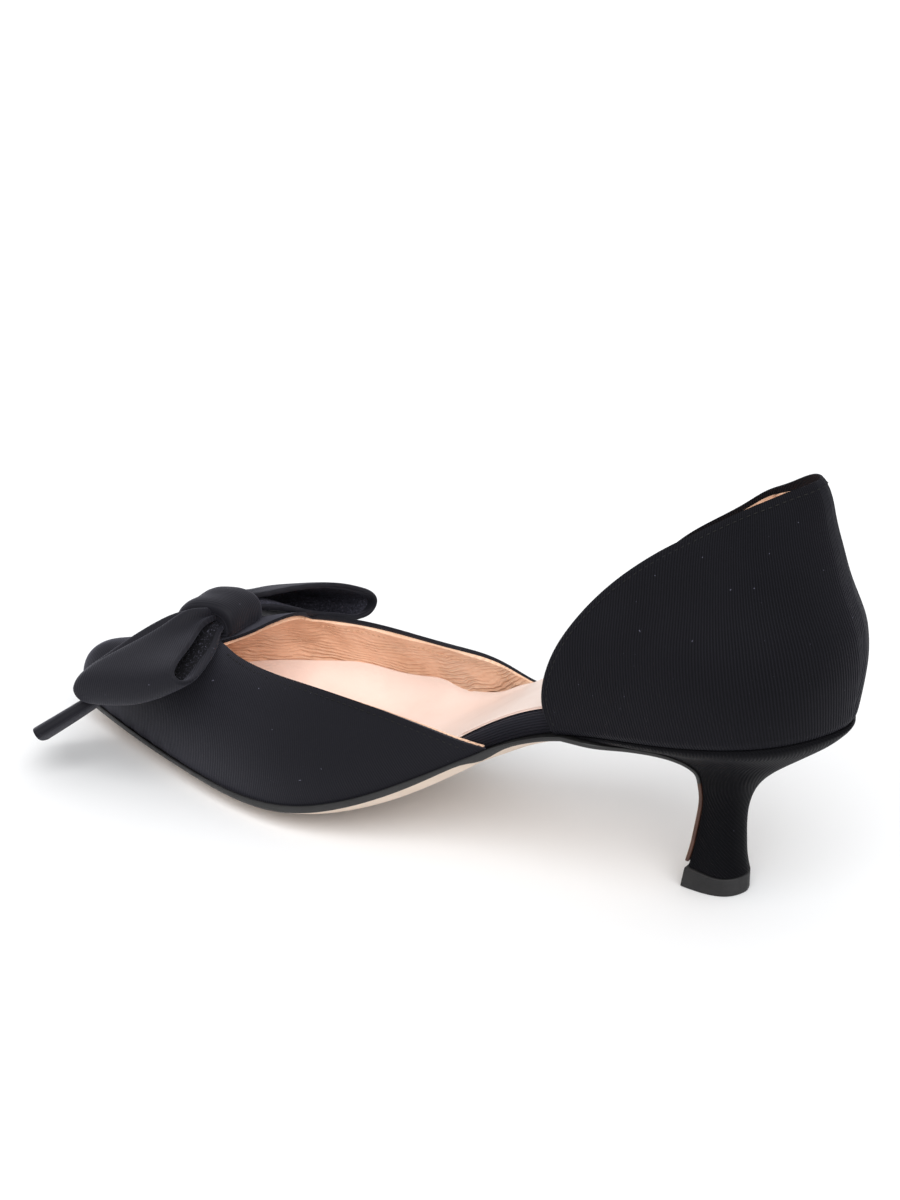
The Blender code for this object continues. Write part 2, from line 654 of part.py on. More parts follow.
# ------------------------------------------------------------------ the bow
def build_knot():
    """Band over the middle of the bow: an arch in side view, eased at its edges."""
    x0, x1 = KNOT_X
    lx = np.linspace(0, 1, 11)
    rows = []
    for y, k in ((-KNOT_HALF, 0.90), (-0.86 * KNOT_HALF, 0.99), (-0.45 * KNOT_HALF, 1.0), (0, 0.985),
                 (0.45 * KNOT_HALF, 1.0), (0.86 * KNOT_HALF, 0.99), (KNOT_HALF, 0.90)):
        a = np.pi * lx
        xm, hw = (x0 + x1) / 2, (x1 - x0) / 2 * k
        x = xm - hw * np.sign(np.cos(a)) * np.abs(np.cos(a)) ** 0.84
        y = y + BOW_Y
        floor = vamp_top(x, np.full_like(x, y)) + 0.8
        top = KNOT_TOP - KNOT_SLOPE * (x - x0) - (1 - k) * 14
        z = floor + (top - floor) * np.sin(a) ** 0.72
        under = np.stack([x[::-1][1:-1], np.full(9, y), floor[::-1][1:-1]], -1)
        over = np.stack([x, np.full_like(x, y), z], -1)
        rows.append(np.vstack([over, under]))
    sheet = Sheet()
    ids = sheet.grid(np.array(rows), wrap=True)
    for k, flip in ((0, False), (-1, True)):
        over, under = ids[k][:11], ids[k][11:][::-1]
        low = [over[0]] + list(under) + [over[10]]
        for i in range(10):
            f = (over[i], over[i + 1], low[i + 1], low[i])
            sheet.faces.append(f[::-1] if flip else f)
    make("bow_knot", sheet.verts, sheet.faces, (0.012, 0.012, 0.016), 0.75)


def build_loop(name, corner, side):
    kb, kf, eb, ef = (np.array(corner[k], float) for k in ("knot_back", "knot_front", "end_back", "end_front"))
    across, ring = 7, 26

    def mid(l, f):
        t = (f + 1) / 2
        back = kb + (eb - kb) * l[..., None]
        front = kf + (ef - kf) * l[..., None]
        p = back + (front - back) * t[..., None]
        p[..., 2] += LOOP_ARCH * 4 * l * (1 - l) * (1 - 0.35 * t)
        return p

    def normal(l, f):
        d = 0.01
        du = mid(l + d, f) - mid(l - d, f)
        dv = mid(l, f + d) - mid(l, f - d)
        n = np.cross(du, dv)
        n /= np.linalg.norm(n, axis=-1)[..., None]
        return np.where(n[..., 2:3] < 0, -n, n)

    length = float(np.linalg.norm((eb + ef - kb - kf) / 2))

    def ring_points(lo, hi, change):
        a = np.linspace(0, 2 * np.pi, ring, endpoint=False)
        l = lo + (hi - lo) * (1 - np.cos(a)) / 2
        s = np.clip(l / LOOP_FULL_AT, 0, 1)
        full = LOOP_PINCH + (LOOP_THICK - LOOP_PINCH) * np.sin(0.5 * np.pi * s) ** 1.3
        full = full / 2 + change
        past = np.clip((l - LOOP_FULL_AT) / (hi - LOOP_FULL_AT), 0, 1)
        before = np.clip((l - lo) / 0.05, 0, 1)
        k = full * np.sqrt(np.maximum(1 - past ** 2, 0)) * before ** 0.5
        k = np.where(a < np.pi, -k, k)
        f = np.linspace(-1, 1, across + 1)
        ll, ff = np.meshgrid(l, f)
        kk = np.repeat(k[None, :], across + 1, 0)
        return mid(ll, ff) + kk[..., None] * normal(ll, ff)

    outer = ring_points(0.0, 1.0, 0.0)
    inner = ring_points(0.16, 1 - RIBBON / length, -RIBBON)
    sheet = Sheet()
    o = sheet.grid(outer, wrap=True)
    i = sheet.grid(inner, flip=True, wrap=True)
    for k, flip in ((0, True), (-1, False)):
        sheet.strip(np.append(o[k], o[k][0]), np.append(i[k], i[k][0]), flip)
    make(name, sheet.verts, sheet.faces, (0.012, 0.012, 0.016), 0.75)


def build_tail(name, middle, side):
    middle = np.array(middle, float)
    across = np.array(TAIL_ACROSS) * (1.0, side, 1.0)
    run = [spline([0.0, 0.5, 1.0], middle[:, k]) for k in range(3)]
    rows = []
    for t in np.linspace(0, 1, 9):
        mid = np.array([float(f(t)) for f in run])
        axis = np.array([float(f(min(t + 0.02, 1)) - f(max(t - 0.02, 0))) for f in run])
        axis /= np.linalg.norm(axis)
        wide = across - axis * across.dot(axis)
        wide /= np.linalg.norm(wide)
        n = np.cross(wide, axis)
        half = TAIL_ROOT_HALF + (TAIL_TIP_HALF - TAIL_ROOT_HALF) * t
        thick = TAIL_THICK * (0.6 + 0.4 * t)
        row = []
        for a in np.linspace(0, 2 * math.pi, 14, endpoint=False):
            c, s = math.cos(a), math.sin(a)
            row.append(mid + wide * half * math.copysign(abs(c) ** 0.7, c) + n * 0.5 * thick * math.copysign(abs(s) ** 0.7, s))
        rows.append(np.array(row))
    sheet = Sheet()
    ids = sheet.grid(np.array(rows), wrap=True)
    for k, flip in ((0, True), (-1, False)):
        r = ids[k]
        faces = [(r[0], r[1], r[13])] + [(r[j], r[j + 1], r[13 - j], r[14 - j]) for j in range(1, 6)] + [(r[6], r[7], r[8])]
        for f in faces:
            sheet.faces.append(f[::-1] if flip else f)
    make(name, sheet.verts, sheet.faces, (0.012, 0.012, 0.016), 0.75)


build_vamp()
build_counter()
build_insole()
build_heel()
build_outsole()
build_knot()
build_loop("bow_loop_left", LOOP_LEFT, 1)
build_loop("bow_loop_right", LOOP_RIGHT, -1)
build_tail("bow_tail_left", TAIL_LEFT, 1)
build_tail("bow_tail_right", TAIL_RIGHT, -1)

# origin under the middle of the box
_all = np.array([v.co for ob in bpy.data.objects for v in ob.data.vertices])
_lo, _hi = _all.min(0), _all.max(0)
_shift = np.array([(_lo[0] + _hi[0]) / 2, (_lo[1] + _hi[1]) / 2, _lo[2]])
for _ob in bpy.data.objects:
    for _v in _ob.data.vertices:
        _v.co = [c - s for c, s in zip(_v.co, _shift)]
print("origin in the working frame, mm:", _shift / MM, "size, mm:", (_hi - _lo) / MM)
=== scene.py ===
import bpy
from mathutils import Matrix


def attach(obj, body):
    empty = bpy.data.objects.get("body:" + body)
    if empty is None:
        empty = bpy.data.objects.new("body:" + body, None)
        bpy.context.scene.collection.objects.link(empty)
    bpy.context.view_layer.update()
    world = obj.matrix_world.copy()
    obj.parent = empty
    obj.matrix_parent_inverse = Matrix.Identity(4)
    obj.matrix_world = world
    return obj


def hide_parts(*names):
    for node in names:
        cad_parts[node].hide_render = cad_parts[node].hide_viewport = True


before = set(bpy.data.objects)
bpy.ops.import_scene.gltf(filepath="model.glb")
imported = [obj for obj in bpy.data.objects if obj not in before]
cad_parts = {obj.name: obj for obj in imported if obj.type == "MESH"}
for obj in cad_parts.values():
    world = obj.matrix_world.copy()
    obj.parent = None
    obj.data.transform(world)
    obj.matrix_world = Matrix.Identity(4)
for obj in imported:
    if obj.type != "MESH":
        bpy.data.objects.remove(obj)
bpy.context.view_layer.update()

import math

import bmesh
import bpy
import numpy as np
from mathutils import Matrix, Vector

# The shapes are worked out in the working frame of the solids, in millimetres:
# x forward from the back of the heel seat, y to the left, z up from the floor.
SHIFT = np.array([128.26690893, -4.43770736, 0.0])

# ------------------------------------------------------------ sizes of the solids
LENGTH = 258.0
GAP = 0.3
VAMP_WALL = 2.0
COUNTER_WALL = 2.4
COUNTER_SKIVE = 0.6
SOLE_RIM = 1.0
SOLE_EDGE = 2.6
SOLE_BODY = 3.9
CROWN = 1.7
SOCK = 1.2
TOP_PIECE = 5.4
FOOT_TILT = 1.0
THROAT_LEFT, THROAT_RIGHT = 202.0, 191.2
THROAT_DEPTH = 0.3
WING_END_LEFT = 98.8
WING_END_RIGHT = 101.5
WING_END_HEIGHT = 0.35
SIDE_POWER = (0.66, 0.82)
TOP_POWER = (0.75, 0.86)
TOE_OVERHANG = 2.0
TOE_ROUND_FROM = 240.0
COUNTER_SCALE = 62.0
BACK_BULGE, BACK_LEAN = 2.6, -10.2
SIDE_BULGE, SIDE_LEAN = 2.2, -9.5
BACK_REACH = 44.6
COUNTER_HALF = (26.8, 24.6)
SEAT_FRONT = 72.0

# outline of the last bottom: x, half width left, half width right
OUTLINE = [
    (0.0, 0.0, 0.0), (1.6, 6.8, 6.8), (6.0, 14.3, 14.2), (14.0, 21.5, 20.3),
    (30.0, 26.6, 24.8), (60.0, 26.9, 23.8), (95.0, 25.6, 20.3), (125.0, 31.0, 25.7),
    (155.0, 36.4, 35.2), (180.0, 33.2, 38.0), (205.0, 25.0, 32.0), (228.0, 16.0, 20.6),
    (245.0, 8.9, 10.6), (253.5, 5.2, 6.0), (256.9, 2.9, 3.1), (258.0, 0.0, 0.0),
]
# height of the feather edge: x, z
FEATHER = [
    (0, 58.2), (20, 55.3), (40, 52.3), (60, 49.7), (80, 45.4), (100, 35.9),
    (120, 23.2), (140, 13.2), (160, 7.3), (180, 5.6), (200, 5.7), (220, 5.9),
    (240, 6.6), (258, 7.8),
]
# ridge of the vamp above the feather edge: x, height
RIDGE = [
    (90, 20.0), (105, 27.0), (125, 35.5), (145, 41.0), (165, 42.5),
    (180, 40.2), (192, 37.2), (205, 33.0), (220, 28.1), (235, 23.5),
    (244, 20.3), (251, 18.4), (258, 16.4),
]
# top edges of the vamp's wings: x, z
WING_TOP_LEFT = [(98.8, 36.9), (105, 37.6), (112, 39.0), (122, 41.0), (137, 42.8), (153, 43.3), (171, 42.2), (181, 41.4), (192, 40.6), (197, 40.1), (202, 39.2)]
WING_TOP_RIGHT = [(101.5, 36.0), (112, 37.3), (120.5, 39.2), (127, 39.9), (141, 38.9), (159, 37.8), (176, 37.7), (192, 38.0)]
# top edge of the counter: x on the outline, height above the feather edge
COUNTER_TOP = [
    (77.6, 1.0), (80.1, 8.0), (79.5, 18.1), (75.6, 28.2), (68.1, 38.4),
    (54.5, 50.2), (43.5, 57.0), (33.3, 61.4), (20.6, 64.8), (6.2, 67.5),
    (0.0, 69.1),
]
COUNTER_RIGHT_DROP = 2.9
# insole board: x, thickness
BOARD = [(0, 5.5), (60, 6.2), (95, 6.4), (120, 5.2), (145, 3.6), (180, 2.8), (258, 2.4)]
# bevel under the sole's side: x, drop
BEVEL = [(73, 0.5), (82, 1.4), (95, 2.9), (110, 3.3), (128, 3.0), (150, 1.7), (172, 0.7), (215, 0.4), (259, 0.4)]
# heel sections: share of the height, front x, back x, half width
HEEL = [
    (0.000, 43.8, 28.8, 7.7), (0.090, 43.0, 29.6, 7.0), (0.180, 42.3, 29.9, 6.6),
    (0.340, 41.2, 30.0, 6.1), (0.480, 40.4, 28.8, 6.4), (0.600, 40.3, 25.6, 8.0),
    (0.700, 41.3, 20.0, 9.8), (0.780, 45.4, 13.8, 12.3), (0.840, 50.4, 8.9, 15.6),
    (0.890, 55.8, 5.0, 19.5), (0.930, 61.0, 2.5, 22.9), (0.965, 66.0, 0.7, 24.9),
    (1.000, 72.0, -0.4, 25.9),
]
BOW_Y = -2.4
KNOT_X = (197.6, 221.2)
KNOT_HALF = 8.1
KNOT_TOP = 52.0
KNOT_SLOPE = 0.18
TAIL_THICK = 4.8
TAIL_LEFT = [(216.6, 8.2, 37.5), (229.2, 24.8, 24.3), (244.8, 40.5, 11.6)]
TAIL_RIGHT = [(217.0, -13.6, 37.2), (228.0, -32.0, 27.0), (241.5, -50.0, 13.0)]
TAIL_ACROSS = (-0.546, 0.703, 0.454)
TAIL_ROOT_HALF = 3.0
TAIL_TIP_HALF = 13.0

# ------------------------------------------------------- sizes that only show here
FABRIC = 1.05           # fabric with its backing, outside the lining
RIB = 0.84              # from one rib of the fabric to the next
STITCH = 2.0            # from one stitch to the next
STITCH_DOWN = 1.9       # stitch row below an edge
RIBBON = 1.9            # doubled ribbon of the bow

LOOP_RIBS = (-0.878, -0.417, -0.238)   # the loops' ribs are square on this line

# height of the sock's turned-up side against the right wall of the vamp: x, z
SOCK_TURN = [(100, 42.0), (111.5, 36.9), (118, 32.6), (125.3, 28.9), (134, 26.0), (140.5, 25.0), (145, 25.3), (155, 23.4),
             (167, 21.5), (181, 21.3), (188, 20.2), (211, 17.6), (225, 15.0), (245, 12.0), (258, 10.5)]

# Left loop of the bow.  Rows run out along the upper layer, round the fold and
# back along the lower layer; columns run across the ribbon from its back edge:
# back edge, panel, main ridge, valley, second ridge, front edge.
LOOP_LEFT = [
    [(204.9, 2.5, 45.2), (206.6, 2.5, 45.5), (208.6, 2.5, 45.6), (210.8, 2.5, 44.5), (213.2, 2.5, 44.8), (215.9, 2.5, 42.4)],
    [(204.7, 6.5, 45.6), (206.8, 6.5, 46.0), (209.0, 6.5, 46.1), (211.3, 6.5, 44.4), (214.4, 6.5, 45.0), (217.7, 6.5, 42.4)],
    [(204.4, 11.0, 45.9), (207.9, 11.0, 46.2), (211.9, 11.0, 46.0), (214.1, 11.0, 43.6), (216.4, 11.0, 44.7), (219.5, 11.0, 41.6)],
    [(203.4, 16.0, 45.1), (209.0, 16.0, 44.9), (215.0, 16.0, 43.8), (216.9, 16.0, 41.7), (218.9, 16.0, 43.2), (222.4, 16.0, 39.9)],
    [(200.9, 23.0, 44.7), (209.4, 23.0, 43.3), (219.3, 23.0, 41.0), (220.8, 23.0, 39.7), (222.5, 23.0, 40.5), (226.3, 23.0, 37.0)],
    [(198.6, 31.0, 44.1), (210.6, 31.0, 41.6), (224.1, 31.0, 38.1), (225.7, 31.0, 36.8), (227.4, 31.0, 36.2), (230.2, 31.0, 33.6)],
    [(196.6, 36.6, 43.9), (210.8, 37.2, 39.9), (227.4, 37.0, 35.3), (228.9, 37.0, 34.2), (230.2, 37.0, 33.2), (231.6, 37.0, 31.2)],
    [(194.9, 40.0, 42.9), (210.6, 41.0, 37.6), (227.9, 40.4, 32.9), (229.3, 40.3, 32.0), (230.4, 40.2, 31.0), (231.5, 40.0, 29.4)],
    [(193.2, 40.3, 41.3), (210.3, 41.6, 34.0), (227.2, 40.6, 29.4), (228.6, 40.4, 28.8), (229.8, 40.2, 28.2), (231.0, 40.0, 27.3)],
    [(191.6, 37.4, 40.2), (209.6, 38.4, 30.0), (225.0, 37.4, 25.7), (226.6, 37.3, 25.4), (228.0, 37.2, 25.2), (229.6, 37.0, 25.0)],
    [(192.2, 31.0, 40.1), (208.8, 31.0, 32.8), (221.6, 31.0, 28.9), (223.8, 31.0, 28.3), (225.8, 31.0, 27.8), (228.4, 31.0, 27.2)],
    [(194.6, 23.0, 40.5), (207.4, 23.0, 36.6), (216.8, 23.0, 33.7), (218.8, 23.0, 33.1), (220.8, 23.0, 32.5), (224.2, 23.0, 31.6)],
    [(198.0, 14.0, 41.3), (205.8, 14.0, 40.3), (211.3, 14.0, 39.4), (213.1, 14.0, 39.0), (215.0, 14.0, 38.6), (218.3, 14.0, 37.8)],
    [(201.4, 6.5, 42.6), (205.8, 6.5, 43.2), (208.6, 6.5, 43.4), (210.8, 6.5, 43.0), (212.8, 6.5, 42.4), (215.4, 6.5, 41.2)],
    [(202.6, 2.5, 42.8), (205.8, 2.5, 43.4), (208.4, 2.5, 43.6), (210.5, 2.5, 43.2), (212.5, 2.5, 42.6), (214.6, 2.5, 41.4)],
]
# Right loop, the same way.
LOOP_RIGHT = [
    [(202.6, -7.0, 47.4), (204.8, -7.0, 47.4), (207.6, -7.0, 47.0), (209.8, -7.0, 45.6), (212.0, -7.0, 45.6), (214.8, -7.0, 43.4)],
    [(201.8, -10.5, 47.3), (204.4, -10.5, 47.2), (207.6, -10.5, 46.8), (209.9, -10.5, 45.2), (212.3, -10.5, 45.2), (215.5, -10.5, 43.0)],
    [(199.6, -14.0, 47.3), (203.6, -14.0, 46.6), (207.5, -14.0, 45.9), (210.0, -14.0, 44.3), (212.6, -14.0, 44.4), (216.6, -14.0, 41.8)],
    [(196.3, -19.0, 47.5), (202.0, -19.0, 46.0), (207.2, -19.0, 44.8), (210.3, -19.0, 43.3), (213.2, -19.0, 42.6), (217.6, -19.0, 39.5)],
    [(191.1, -27.0, 47.2), (198.6, -27.0, 45.3), (206.2, -27.0, 43.2), (210.0, -27.0, 41.7), (213.6, -27.0, 39.8), (219.0, -27.0, 35.8)],
    [(185.9, -36.0, 45.2), (194.8, -36.0, 43.0), (204.4, -36.0, 40.2), (208.8, -36.0, 38.9), (213.2, -36.0, 36.2), (220.2, -36.0, 31.2)],
    [(182.6, -42.0, 42.4), (191.8, -42.0, 40.4), (202.3, -42.0, 37.6), (207.4, -42.0, 36.4), (212.8, -42.0, 33.8), (220.7, -42.0, 29.4)],
    [(181.3, -45.6, 39.9), (190.8, -46.0, 37.6), (201.5, -46.2, 35.0), (207.0, -46.0, 33.9), (212.5, -45.8, 31.8), (220.5, -45.4, 28.8)],
    [(180.9, -46.9, 37.0), (190.3, -47.8, 34.2), (201.0, -48.0, 31.8), (206.6, -47.6, 30.9), (212.2, -47.3, 29.9), (220.2, -46.6, 28.4)],
    [(181.7, -45.8, 34.4), (190.6, -46.6, 31.4), (200.8, -46.9, 29.2), (206.4, -46.5, 28.4), (212.0, -46.2, 27.6), (219.8, -45.4, 26.5)],
    [(183.4, -42.6, 33.3), (191.2, -43.0, 30.4), (201.0, -43.4, 28.1), (206.4, -43.2, 27.3), (211.8, -43.0, 26.5), (219.2, -42.6, 25.5)],
    [(185.6, -36.0, 35.2), (193.4, -36.0, 33.2), (202.0, -36.0, 31.1), (206.8, -36.0, 30.3), (211.6, -36.0, 29.6), (218.4, -36.0, 28.8)],
    [(189.4, -27.0, 38.4), (195.6, -27.0, 37.1), (202.8, -27.0, 35.8), (206.9, -27.0, 35.2), (211.0, -27.0, 34.6), (217.2, -27.0, 33.8)],
    [(194.0, -19.0, 41.6), (198.6, -19.0, 42.0), (204.0, -19.0, 41.2), (207.6, -19.0, 39.5), (211.2, -19.0, 39.0), (216.2, -19.0, 38.0)],
    [(198.9, -10.5, 43.9), (202.4, -10.5, 45.0), (206.0, -10.5, 45.0), (208.8, -10.5, 43.3), (211.4, -10.5, 43.2), (214.6, -10.5, 41.4)],
    [(200.2, -7.0, 44.5), (203.0, -7.0, 45.2), (206.2, -7.0, 45.0), (208.7, -7.0, 43.6), (211.2, -7.0, 43.4), (214.0, -7.0, 41.8)],
]


# ------------------------------------------------------------------ helpers
def spline(xs, ys):
    """Natural cubic through the points, held flat past its ends; ys may have columns."""
    xs, ys = np.asarray(xs, float), np.asarray(ys, float)
    n, h = len(xs), np.diff(xs)
    a, r = np.eye(n), np.zeros_like(ys)
    for i in range(1, n - 1):
        a[i, i - 1:i + 2] = h[i - 1], 2 * (h[i - 1] + h[i]), h[i]
        r[i] = 6 * ((ys[i + 1] - ys[i]) / h[i] - (ys[i] - ys[i - 1]) / h[i - 1])
    m = np.linalg.solve(a, r)

    def value(x):
        x = np.clip(np.asarray(x, float), xs[0], xs[-1])
        i = np.clip(np.searchsorted(xs, x) - 1, 0, n - 2)
        d = xs[i + 1] - xs[i]
        p, q = (xs[i + 1] - x) / d, (x - xs[i]) / d
        if ys.ndim > 1:
            d, p, q = d[..., None], p[..., None], q[..., None]
        return p * ys[i] + q * ys[i + 1] + ((p ** 3 - p) * m[i] + (q ** 3 - q) * m[i + 1]) * d * d / 6

    return value


def column(table, k):
    return [row[k] for row in table]


def closed_curve(points, count):
    p = np.array(points, float)
    k = 5
    q = np.vstack([p[-k:], p, p[:k + 1]])
    t = np.concatenate([[0.0], np.cumsum(np.linalg.norm(np.diff(q, axis=0), axis=1))])
    u = np.linspace(t[k], t[k + len(p)], count, endpoint=False)
    return np.stack([spline(t, q[:, 0])(u), spline(t, q[:, 1])(u)], -1)


def smooth(x, lo, hi):
    t = np.clip((np.asarray(x, float) - lo) / (hi - lo), 0, 1)
    return t * t * (3 - 2 * t)


def unit(v):
    return v / np.maximum(np.linalg.norm(v, axis=-1, keepdims=True), 1e-12)


def ends_fine(lo, hi, count):
    i = np.arange(count + 1)
    return lo + (hi - lo) * (1 - np.cos(np.pi * i / count)) / 2


def along(points):
    return np.concatenate([[0.0], np.cumsum(np.linalg.norm(np.diff(points, axis=0), axis=1))])


class Edge:
    """Outline of the last bottom moved outwards by a distance."""

    _base = closed_curve(
        [(LENGTH, 0.0)]
        + [(x, l) for x, l, r in reversed(OUTLINE[1:-1])]
        + [(0.0, 0.0)]
        + [(x, -r) for x, l, r in OUTLINE[1:-1]], 3000)

    def __init__(self, distance):
        p = self._base
        t = np.roll(p, -1, 0) - np.roll(p, 1, 0)
        t /= np.linalg.norm(t, axis=1)[:, None]
        self.normal = np.stack([t[:, 1], -t[:, 0]], -1)
        self.points = p + distance * self.normal
        k = int(self.points[:, 0].argmin())
        self.back = k
        left = self.points[:k + 1][::-1]
        right = np.vstack([self.points[k:], self.points[:1]])
        self.left_x, self.left_y = np.maximum.accumulate(left[:, 0]), left[:, 1]
        self.right_x, self.right_y = np.maximum.accumulate(right[:, 0]), right[:, 1]
        self.lo, self.hi = self.points[:, 0].min(), self.points[:, 0].max()

    def left(self, x):
        return np.interp(x, self.left_x, self.left_y)

    def right(self, x):
        return np.interp(x, self.right_x, self.right_y)


feather = spline(column(FEATHER, 0), column(FEATHER, 1))
ridge_rise = spline(column(RIDGE, 0), column(RIDGE, 1))
wing_top_left = spline(column(WING_TOP_LEFT, 0), column(WING_TOP_LEFT, 1))
wing_top_right = spline(column(WING_TOP_RIGHT, 0), column(WING_TOP_RIGHT, 1))
board = spline(column(BOARD, 0), column(BOARD, 1))
bevel_drop = spline(column(BEVEL, 0), column(BEVEL, 1))
last = Edge(0.0)


def crown(x):
    return CROWN * smooth(x, 110, 165) * (1 - smooth(x, 235, 256))


class Build:
    """Collects grids of points, the faces between them and a rib measure for each point."""

    def __init__(self):
        self.v, self.r, self.f, self.m, self.n = [], [], [], [], 0

    def grid(self, pts, rib=0.0, mat=0, flip=False, wrap=False):
        pts = np.asarray(pts, float)
        ni, nj = pts.shape[:2]
        ids = self.n + np.arange(ni * nj).reshape(ni, nj)
        self.n += ni * nj
        self.v.append(pts.reshape(-1, 3))
        self.r.append(np.broadcast_to(np.asarray(rib, float), (ni, nj)).reshape(-1))
        nxt = np.roll(ids, -1, 1) if wrap else ids[:, 1:]
        cur = ids if wrap else ids[:, :-1]
        f = np.stack([cur[:-1], nxt[:-1], nxt[1:], cur[1:]], -1).reshape(-1, 4)
        self.quads(f, mat, flip)
        return ids

    def quads(self, f, mat=0, flip=False):
        f = np.asarray(f)
        self.f.append(f[:, ::-1] if flip else f)
        self.m.append(np.broadcast_to(np.asarray(mat), (len(f),)))

    def strip(self, a, b, mat=0, flip=False):
        self.quads(np.stack([a[:-1], a[1:], b[1:], b[:-1]], -1), mat, flip)

    def fan(self, ring, mat=0, flip=False):
        """Closes a ring with a middle point."""
        pts = np.concatenate(self.v)[ring]
        rib = np.concatenate(self.r)[ring]
        c = self.n
        self.n += 1
        self.v.append(pts.mean(0)[None, :])
        self.r.append(rib.mean()[None])
        nxt = np.roll(ring, -1)
        self.quads(np.stack([ring, nxt, np.full_like(ring, c), np.full_like(ring, c)], -1), mat, flip)

    def piece(self, name, materials, stands_for=(), bevel=0.0, subdivide=0):
        v = (np.concatenate(self.v) - SHIFT) * 0.001
        f, m = np.concatenate(self.f), np.concatenate(self.m)
        faces = []
        for q in f.tolist():
            g = []
            for i in q:
                if not g or (g[-1] != i and g[0] != i):
                    g.append(i)
            faces.append(g)
        mesh = bpy.data.meshes.new(name)
        mesh.from_pydata(v.tolist(), [], faces)
        mesh.attributes.new("rib", "FLOAT", "POINT").data.foreach_set("value", np.concatenate(self.r).astype(np.float32))
        mesh.polygons.foreach_set("material_index", m.astype(np.int32))
        bm = bmesh.new()
        bm.from_mesh(mesh)
        bmesh.ops.remove_doubles(bm, verts=bm.verts[:], dist=2e-6)
        bmesh.ops.dissolve_degenerate(bm, edges=bm.edges[:], dist=1e-6)
        bmesh.ops.recalc_face_normals(bm, faces=bm.faces[:])
        if bm.calc_volume(signed=True) < 0:
            bmesh.ops.reverse_faces(bm, faces=bm.faces[:])
        for face in bm.faces:
            face.smooth = True
        bm.to_mesh(mesh)
        bm.free()
        for mat in materials:
            mesh.materials.append(mat)
        ob = bpy.data.objects.new(name, mesh)
        bpy.context.scene.collection.objects.link(ob)
        if bevel:
            b = ob.modifiers.new("soft_edges", "BEVEL")
            b.width, b.segments, b.limit_method, b.angle_limit = bevel * 0.001, 3, "ANGLE", math.radians(50)
            b.harden_normals = False
        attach(ob, "root")
        if stands_for:
            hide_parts(*stands_for)
        return ob


# ---------------------------------------------------------------- materials
class Nodes:
    def __init__(self, name):
        self.mat = bpy.data.materials.new(name)
        self.mat.use_nodes = True
        self.tree = self.mat.node_tree
        self.bsdf = self.tree.nodes["Principled BSDF"]
        self.coord = self.tree.nodes.new("ShaderNodeTexCoord").outputs["Object"]

    def link(self, a, b):
        self.tree.links.new(a, b)

    def set(self, **values):
        for k, v in values.items():
            self.bsdf.inputs[k.replace("_", " ")].default_value = v

    def math(self, op, a, b=None, c=None):
        n = self.tree.nodes.new("ShaderNodeMath")
        n.operation = op
        for i, x in enumerate((a, b, c)):
            if x is None:
                continue
            if isinstance(x, (int, float)):
                n.inputs[i].default_value = x
            else:
                self.link(x, n.inputs[i])
        return n.outputs[0]

    def noise(self, scale, detail=2.0, rough=0.5, stretch=None, offset=0.0):
        n = self.tree.nodes.new("ShaderNodeTexNoise")
        n.inputs["Scale"].default_value = scale
        n.inputs["Detail"].default_value = detail
        n.inputs["Roughness"].default_value = rough
        src = self.coord
        if stretch or offset:
            m = self.tree.nodes.new("ShaderNodeMapping")
            m.inputs["Location"].default_value = (offset, offset, offset)
            if stretch:
                m.inputs["Scale"].default_value = stretch
            self.link(src, m.inputs["Vector"])
            src = m.outputs[0]
        self.link(src, n.inputs["Vector"])
        return n.outputs["Fac"]

    def cells(self, scale):
        n = self.tree.nodes.new("ShaderNodeTexVoronoi")
        n.inputs["Scale"].default_value = scale
        self.link(self.coord, n.inputs["Vector"])
        return n.outputs["Distance"]

    def attribute(self, name):
        n = self.tree.nodes.new("ShaderNodeAttribute")
        n.attribute_name = name
        return n.outputs["Fac"]

    def ramp(self, fac, stops):
        n = self.tree.nodes.new("ShaderNodeValToRGB")
        el = n.color_ramp.elements
        while len(el) < len(stops):
            el.new(0.5)
        for e, (p, c) in zip(el, stops):
            e.position, e.color = p, tuple(c) + (1.0,)
        self.link(fac, n.inputs["Fac"])
        return n.outputs["Color"]

    def span(self, fac, lo, hi, a, b):
        n = self.tree.nodes.new("ShaderNodeMapRange")
        n.inputs["From Min"].default_value, n.inputs["From Max"].default_value = lo, hi
        n.inputs["To Min"].default_value, n.inputs["To Max"].default_value = a, b
        self.link(fac, n.inputs["Value"])
        return n.outputs[0]

    def bump(self, height, strength, distance):
        n = self.tree.nodes.new("ShaderNodeBump")
        n.inputs["Strength"].default_value = strength
        n.inputs["Distance"].default_value = distance
        self.link(height, n.inputs["Height"])
        self.link(n.outputs["Normal"], self.bsdf.inputs["Normal"])


def grey(v, tint=(1.0, 0.985, 1.34)):
    return tuple(v * t for t in tint)


